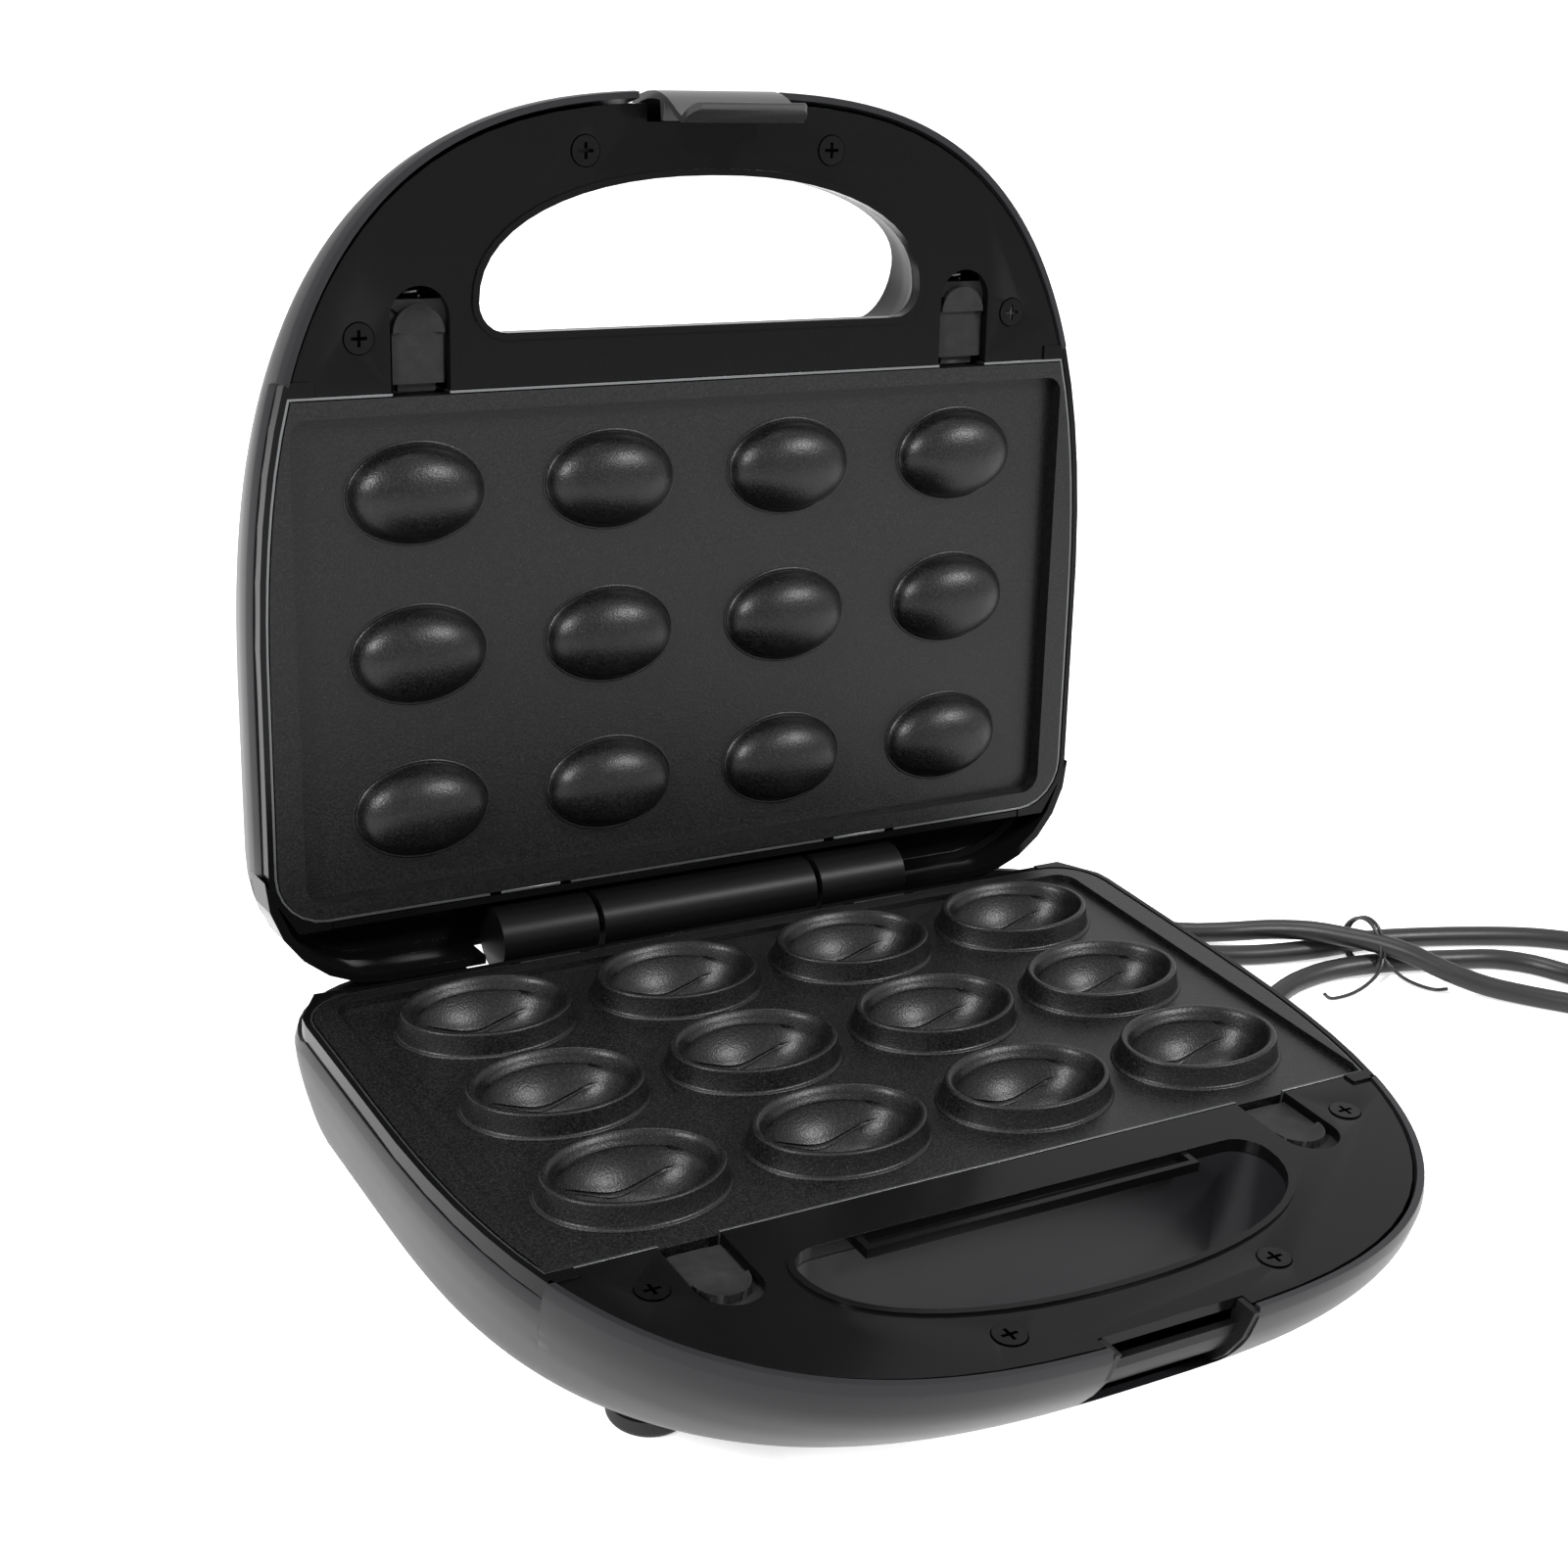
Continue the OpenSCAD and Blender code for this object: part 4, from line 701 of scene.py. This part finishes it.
print("small parts: refined copies of the solids")
small = [
    ("lower_cover", "baseCover", "cover", "base", "cover_gloss", 0.35),
    ("upper_cover", "lidCover", "cover", "lid", "cover_gloss", 0.35),
    ("lower_tray", "baseTray", "tray", "base", "tray_sheet", 0.12),
    ("upper_tray", "lidTray", "tray", "lid", "tray_sheet", 0.12),
    ("lower_heater", "baseHeater", "heater", "base", "heater_tube", 0),
    ("upper_heater", "lidHeater", "heater", "lid", "heater_tube", 0),
    ("lower_heater_clamps", "baseHeaterClamps", "steel", "base", "bright_steel", 0.1),
    ("upper_heater_clamps", "lidHeaterClamps", "steel", "lid", "bright_steel", 0.1),
    ("lower_plate_clips", "basePlateBrackets", "steel", "base", "bright_steel", 0.12),
    ("upper_plate_clips", "lidPlateBrackets", "steel", "lid", "bright_steel", 0.12),
    ("lower_cover_screws", "baseCoverScrews", "blackScrew", "base", "black_screw", 0.12),
    ("upper_cover_screws", "lidCoverScrews", "blackScrew", "lid", "black_screw", 0.12),
    ("lower_tray_screws", "baseTrayScrews", "steel", "base", "bright_steel", 0.12),
    ("upper_tray_screws", "lidTrayScrews", "steel", "lid", "bright_steel", 0.12),
    ("thermal_fuse", "thermalFuse", "ceramic", "base", "ceramic_white", 0.1),
    ("thermostat", "thermostat", "ceramic", "lid", "ceramic_white", 0.2),
    ("terminal_block", "terminalBlock", "terminal", "base", "terminal_plastic", 0.3),
    ("base_wires", "baseWires", "sleeve", "base", "wire_sleeve", 0),
    ("hinge_wires", "hingeWires", "sleeve", "base", "wire_sleeve", 0),
    ("catch_insert", "catchInsert", "insert", "base", "insert_plastic", 0.25),
    ("feet", "feet", "rubber", "base", "foot_rubber", 0),
    ("hinge_knuckles", "hingeKnuckles", "hinge", "base", "hinge_plastic", 0.5),
    ("hinge_barrel", "hingeBarrel", "hinge", "lid", "hinge_plastic", 0.5),
    ("hinge_pins", "hingePins", "steel", "base", "bright_steel", 0.2),
    ("knuckle_screws", "knuckleScrews", "steel", "base", "bright_steel", 0.15),
    ("barrel_screws", "barrelScrews", "steel", "lid", "bright_steel", 0.15),
    ("clip_pin", "clipPin", "steel", "lid", "bright_steel", 0.15),
    ("clip_spring", "clipSpring", "spring", "lid", "spring_wire", 0),
    ("power_lens", "powerLens", "redLens", "lid", "lens_red", 0.3),
    ("ready_lens", "readyLens", "greenLens", "lid", "lens_green", 0.3),
    ("neon_lamps", "neonLamps", "lamp", "lid", "lamp_glass", 0.2),
    ("closing_clip", "closingClip", "clip", "clip", "clip_plastic", 0.4),
    ("cord_gland", "cordGland", "cord", "base", "cord_sheath", 0.25),
    ("plug_pins", "plugPins", "brass", "base", "plug_brass", 0.25),
]
for node, name, finish, bodyName, slotName, edge in small:
    refined(node, name, finish, bodyName, slotName, edge, 3 if edge > 0.3 else 2)

# plate latches: a shallow dish in the thumb end; each latch's spring is a refined copy of its solid
latch = dict(x=plates["tongueX"], edge=0.3, dishY=-75.9, dishDepth=1.45, dishRadius=13, thumbTop=1.4,
             ribY=-94, springHeight=6.9, springLength=11, travel=4)


def latchPiece(node, name, side, place, bodyName):
    piece = refined(node, name, "latch", bodyName, "latch_plastic", latch["edge"], 3)
    settle(piece)
    ball = bmesh.new()
    centre = (side * latch["x"], latch["dishY"], latch["thumbTop"] - latch["dishRadius"] + latch["dishDepth"])
    bmesh.ops.create_uvsphere(ball, u_segments=96, v_segments=64, radius=latch["dishRadius"])
    bmesh.ops.transform(ball, matrix=Matrix.Translation(centre), verts=ball.verts)
    carve(piece, meshPiece("cutter", ball, place))
    piece.data.set_sharp_from_angle(angle=math.radians(26))


def springPiece(node, name, side, place, bodyName, joint):
    piece = refined(node, name, "spring", bodyName, "spring_wire", 0)
    along = place.to_3x3() @ Vector((0, 1, 0))
    held = place @ Vector((side * latch["x"], latch["ribY"], latch["springHeight"]))
    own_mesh(piece)


print("latches and their springs")
for half, place, row in (("Base", baseFrame, "lower"), ("Lid", lidFrame, "upper")):
    for side, word in ((-1, "Left"), (1, "Right")):
        where = row + "_" + word.lower()
        latchPiece("latch_" + where, "latch" + half + word, side, place, "latch_" + row[0] + word[0].lower())
        springPiece("spring_" + where, "spring" + half + word, side, place, half.lower(), "latch_slide_" + where)

# power cord: its centre line is the one in the part's source
flex = dict(radius=3.0, sides=20, exit=(70, 106, 20), steps=3)
route = [
    (70, 106, 20), (70, 107.2, 20), (70, 117, 18.3), (71, 126, 13.2), (74.5, 133.5, 7.4), (81, 140.3, 4),
    (91, 144.8, 3.1), (102.5, 145.6, 3.1), (114, 141.3, 3.1), (125, 132.5, 3.1), (135, 119, 3.1),
    (145, 105, 3.1), (156, 91, 3.1), (170, 79, 3.3), (182, 71, 5), (191, 63, 7.8), (199, 54, 10),
    (206, 46, 10.4), (212, 39, 10.4), (218, 31, 9.4), (225, 22, 6.5), (233, 14, 4.2), (242, 6, 3.2),
    (250, -2, 3.1), (258, -11, 3.1), (267, -18, 3.1), (278, -22, 3.1), (289, -19, 3.1), (297, -10, 3.1),
    (300, 2, 3.1), (298, 13, 3.1), (291, 22, 3.1), (282, 30, 3.1), (271, 37, 3.1), (254, 44, 3.1),
    (237, 49, 3.4), (221, 52, 3.9), (204, 53, 3.9), (187, 57, 3.1), (174, 61, 3.1), (162, 66, 3.1),
    (150, 67, 3.1), (139, 63, 3.1), (131.5, 54, 3.1), (130, 43, 3.1), (135, 33, 3.1), (146, 27, 3.1),
    (159, 29, 3.1), (168, 33.5, 3.1), (181, 39, 3.1), (196, 41, 3.4), (210, 39, 3.9), (224, 36, 3.7),
    (238, 33, 3.1), (250.5, 28.5, 3.1), (259.5, 21, 3.1), (265, 10, 3.6), (267, 0, 5.8), (268, -9, 8.6),
    (268, -18, 10), (268, -28, 10), (268, -38, 10)]
print("cord: three tied runs beside the base, then the plug")


def sheathRings(path, radius, sides):
    # round sections along a path
    turns = [2 * math.pi * k / sides for k in range(sides)]
    rings = []
    for i, point in enumerate(path):
        along = (path[min(i + 1, len(path) - 1)] - path[max(i - 1, 0)]).normalized()
        side = along.cross(Vector((0, 0, 1))).normalized()
        up = side.cross(along)
        rings.append([point + radius * (math.cos(t) * side + math.sin(t) * up) for t in turns])
    return rings


cordPath = smoothPath(route, flex["steps"])
cordLength = sum((b - a).length for a, b in zip(cordPath, cordPath[1:])) * mm
cordMesh = bmesh.new()
loft(cordMesh, sheathRings(cordPath, flex["radius"], flex["sides"]))
cordPiece = dress(meshPiece("powerCord", cordMesh, tableFrame), "cord", "base", "cord_sheath", "power_cord")

# plug: a waisted grip in sections of half width, half height and place, then a strain relief with ribs
plug = dict(x=268, z=10, steps=32, gripBend=3.6, reliefBend=2.2,
            grip=[(9.4, 7.4, -78), (10.6, 8.6, -77.6), (10.9, 8.9, -76.8), (10.9, 8.9, -74.5), (10.2, 8.4, -70),
                  (9.6, 8.0, -66), (9.8, 8.1, -62), (9.4, 7.8, -58.5), (8.2, 7.2, -56.6), (7.2, 6.6, -56)],
            ribs=6, ribFirst=-55.6, ribPitch=2.9, ribRadius=6.9, taper=0.52, valley=1.0, last=(3.7, 3.7, -38.2))


def plugSection(halfX, halfZ, y, bend):
    turns = [2 * math.pi * k / plug["steps"] for k in range(plug["steps"])]
    return [(plug["x"] + halfX * power(math.cos(t), 2 / bend), y, plug["z"] + halfZ * power(math.sin(t), 2 / bend))
            for t in turns]


relief = []
for k in range(plug["ribs"]):
    y = plug["ribFirst"] + k * plug["ribPitch"]
    r = plug["ribRadius"] - k * plug["taper"]
    low = r - plug["valley"]
    relief += [(r, r, y), (r, r, y + 1.5), (low, low, y + 1.7), (low, low, y + 2.6)]
plugMesh = bmesh.new()
loft(plugMesh, [plugSection(*row, plug["gripBend"]) for row in plug["grip"]]
     + [plugSection(*row, plug["reliefBend"]) for row in relief + [plug["last"]]])
plugPiece = dress(meshPiece("plugBody", plugMesh, tableFrame), "cord", "base", "cord_sheath", "plug_body")

# wire tie: two turns round the cords and two twisted tails
tie = dict(wire=0.55, sides=8, x=213, y=45.5, turn=-12, half=10.4, centre=7.4, height=7.2, squeeze=0.12, tilt=0.6,
           skew=0.5, lowest=0.62, turns=[(-0.7, 0.2), (0.7, 0.35)],
           tails=[[(0.3, -10.3, 7), (-1, -12, 5), (-4, -14, 3), (-9, -16.5, 1.5), (-15, -19, 1.0), (-22, -21, 1.4),
                   (-25, -21.5, 3.4)],
                  [(0.6, -10.3, 7.4), (2, -12.5, 5.5), (5, -15, 3), (9, -17.6, 1.4), (13, -20.5, 1.0),
                   (15, -23.5, 2.6)]])


def tieTurn(shift, grow):
    loop = []
    for k in range(41):
        angle = 2 * math.pi * (k % 40) / 40
        y = tie["half"] * math.cos(angle) * (1 - tie["squeeze"] * math.sin(angle))
        z = tie["centre"] + (tie["height"] + grow) * math.sin(angle) - tie["tilt"] * math.cos(angle)
        loop.append(Vector((shift + tie["skew"] * math.sin(angle), y, max(tie["lowest"], z))))
    return loop


tieMesh = bmesh.new()
tiePlace = Matrix.Translation((tie["x"], tie["y"], 0)) @ Matrix.Rotation(math.radians(tie["turn"]), 4, "Z")
for strand in [tieTurn(*turn) for turn in tie["turns"]] + [smoothPath(tail, 5) for tail in tie["tails"]]:
    loft(tieMesh, sheathRings([tiePlace @ p for p in strand], tie["wire"], tie["sides"]))
tiePiece = dress(meshPiece("cordTie", tieMesh, tableFrame), "tie", "base", "tie_strip", "cord_tie")
[tuple(p * mm) for p in cordPath]

print("studio: floor, lamps, camera")
studio = dict(floorSize=14.0, floorDrop=0.00005, floorTone=0.86, floorGlow=0.62, skyStrength=0.5, aim=(0, 0.02, 0.1),
              lamps=[("lampLeft", (-1.5, -0.7, 1.35), (0.3, 0.55), 42),
                     ("lampRight", (1.15, -1.25, 1.5), (0.3, 0.3), 38),
                     ("lampTop", (0.1, 0.5, 2.2), (0.9, 0.5), 22)])
floorMesh = bmesh.new()
bmesh.ops.create_grid(floorMesh, x_segments=1, y_segments=1, size=studio["floorSize"])
floor = meshPiece("studioFloor", floorMesh, Matrix.Translation((0, 0, -studio["floorDrop"])), 30, True)
paint = Finish("studioFloorPaint", Roughness=0.9, Specular_IOR_Level=0.1, Base_Color=shade(studio["floorTone"]),
               Emission_Color=shade(1.0))
paint.link("Emission Strength", paint.plainWhite() * studio["floorGlow"])
floor.data.materials.append(paint.material)

world = bpy.data.worlds.new("studioSky")
bpy.context.scene.world = world
world.use_nodes = True
sky = Graph(world.node_tree)
background = sky.tree.nodes["Background"]
background.inputs["Color"].default_value = shade(1.0)
strength = sky.node("ShaderNodeMapRange", None, {"Value": sky.plainWhite(), "To Min": studio["skyStrength"]})
sky.tree.links.new(strength.socket, background.inputs["Strength"])

for name, at, size, energy in studio["lamps"]:
    light = bpy.data.lights.new(name, "AREA")
    light.shape = "RECTANGLE"
    light.size, light.size_y = size
    light.energy = energy
    holder = bpy.data.objects.new(name, light)
    holder.location = at
    holder.rotation_mode = "QUATERNION"
    holder.rotation_quaternion = (Vector(studio["aim"]) - holder.location).to_track_quat("-Z", "Y")
    bpy.context.scene.collection.objects.link(holder)

# camera where the photograph was taken
shot = dict(at=(-0.27695, -0.41685, 0.30824), azimuth=-31.41, elevation=22.13, roll=4.5, lens=54.75)
azimuth, elevation, roll = (math.radians(shot[k]) for k in ("azimuth", "elevation", "roll"))
back = Vector((math.sin(azimuth) * math.cos(elevation), -math.cos(azimuth) * math.cos(elevation), math.sin(elevation)))
right = (-back).cross(Vector((0, 0, 1))).normalized()
up = right.cross(-back)
turnedRight = right * math.cos(roll) + up * math.sin(roll)
turnedUp = up * math.cos(roll) - right * math.sin(roll)
eye = bpy.data.cameras.new("shotCamera")
eye.lens = shot["lens"]
eye.sensor_width = 36
eye.clip_start = 0.01
camera = bpy.data.objects.new("shotCamera", eye)
camera.matrix_world = Matrix.Translation(shot["at"]) @ Matrix((turnedRight, turnedUp, back)).transposed().to_4x4()
bpy.context.scene.collection.objects.link(camera)
bpy.context.scene.camera = camera
bpy.context.scene.view_settings.view_transform = "Standard"
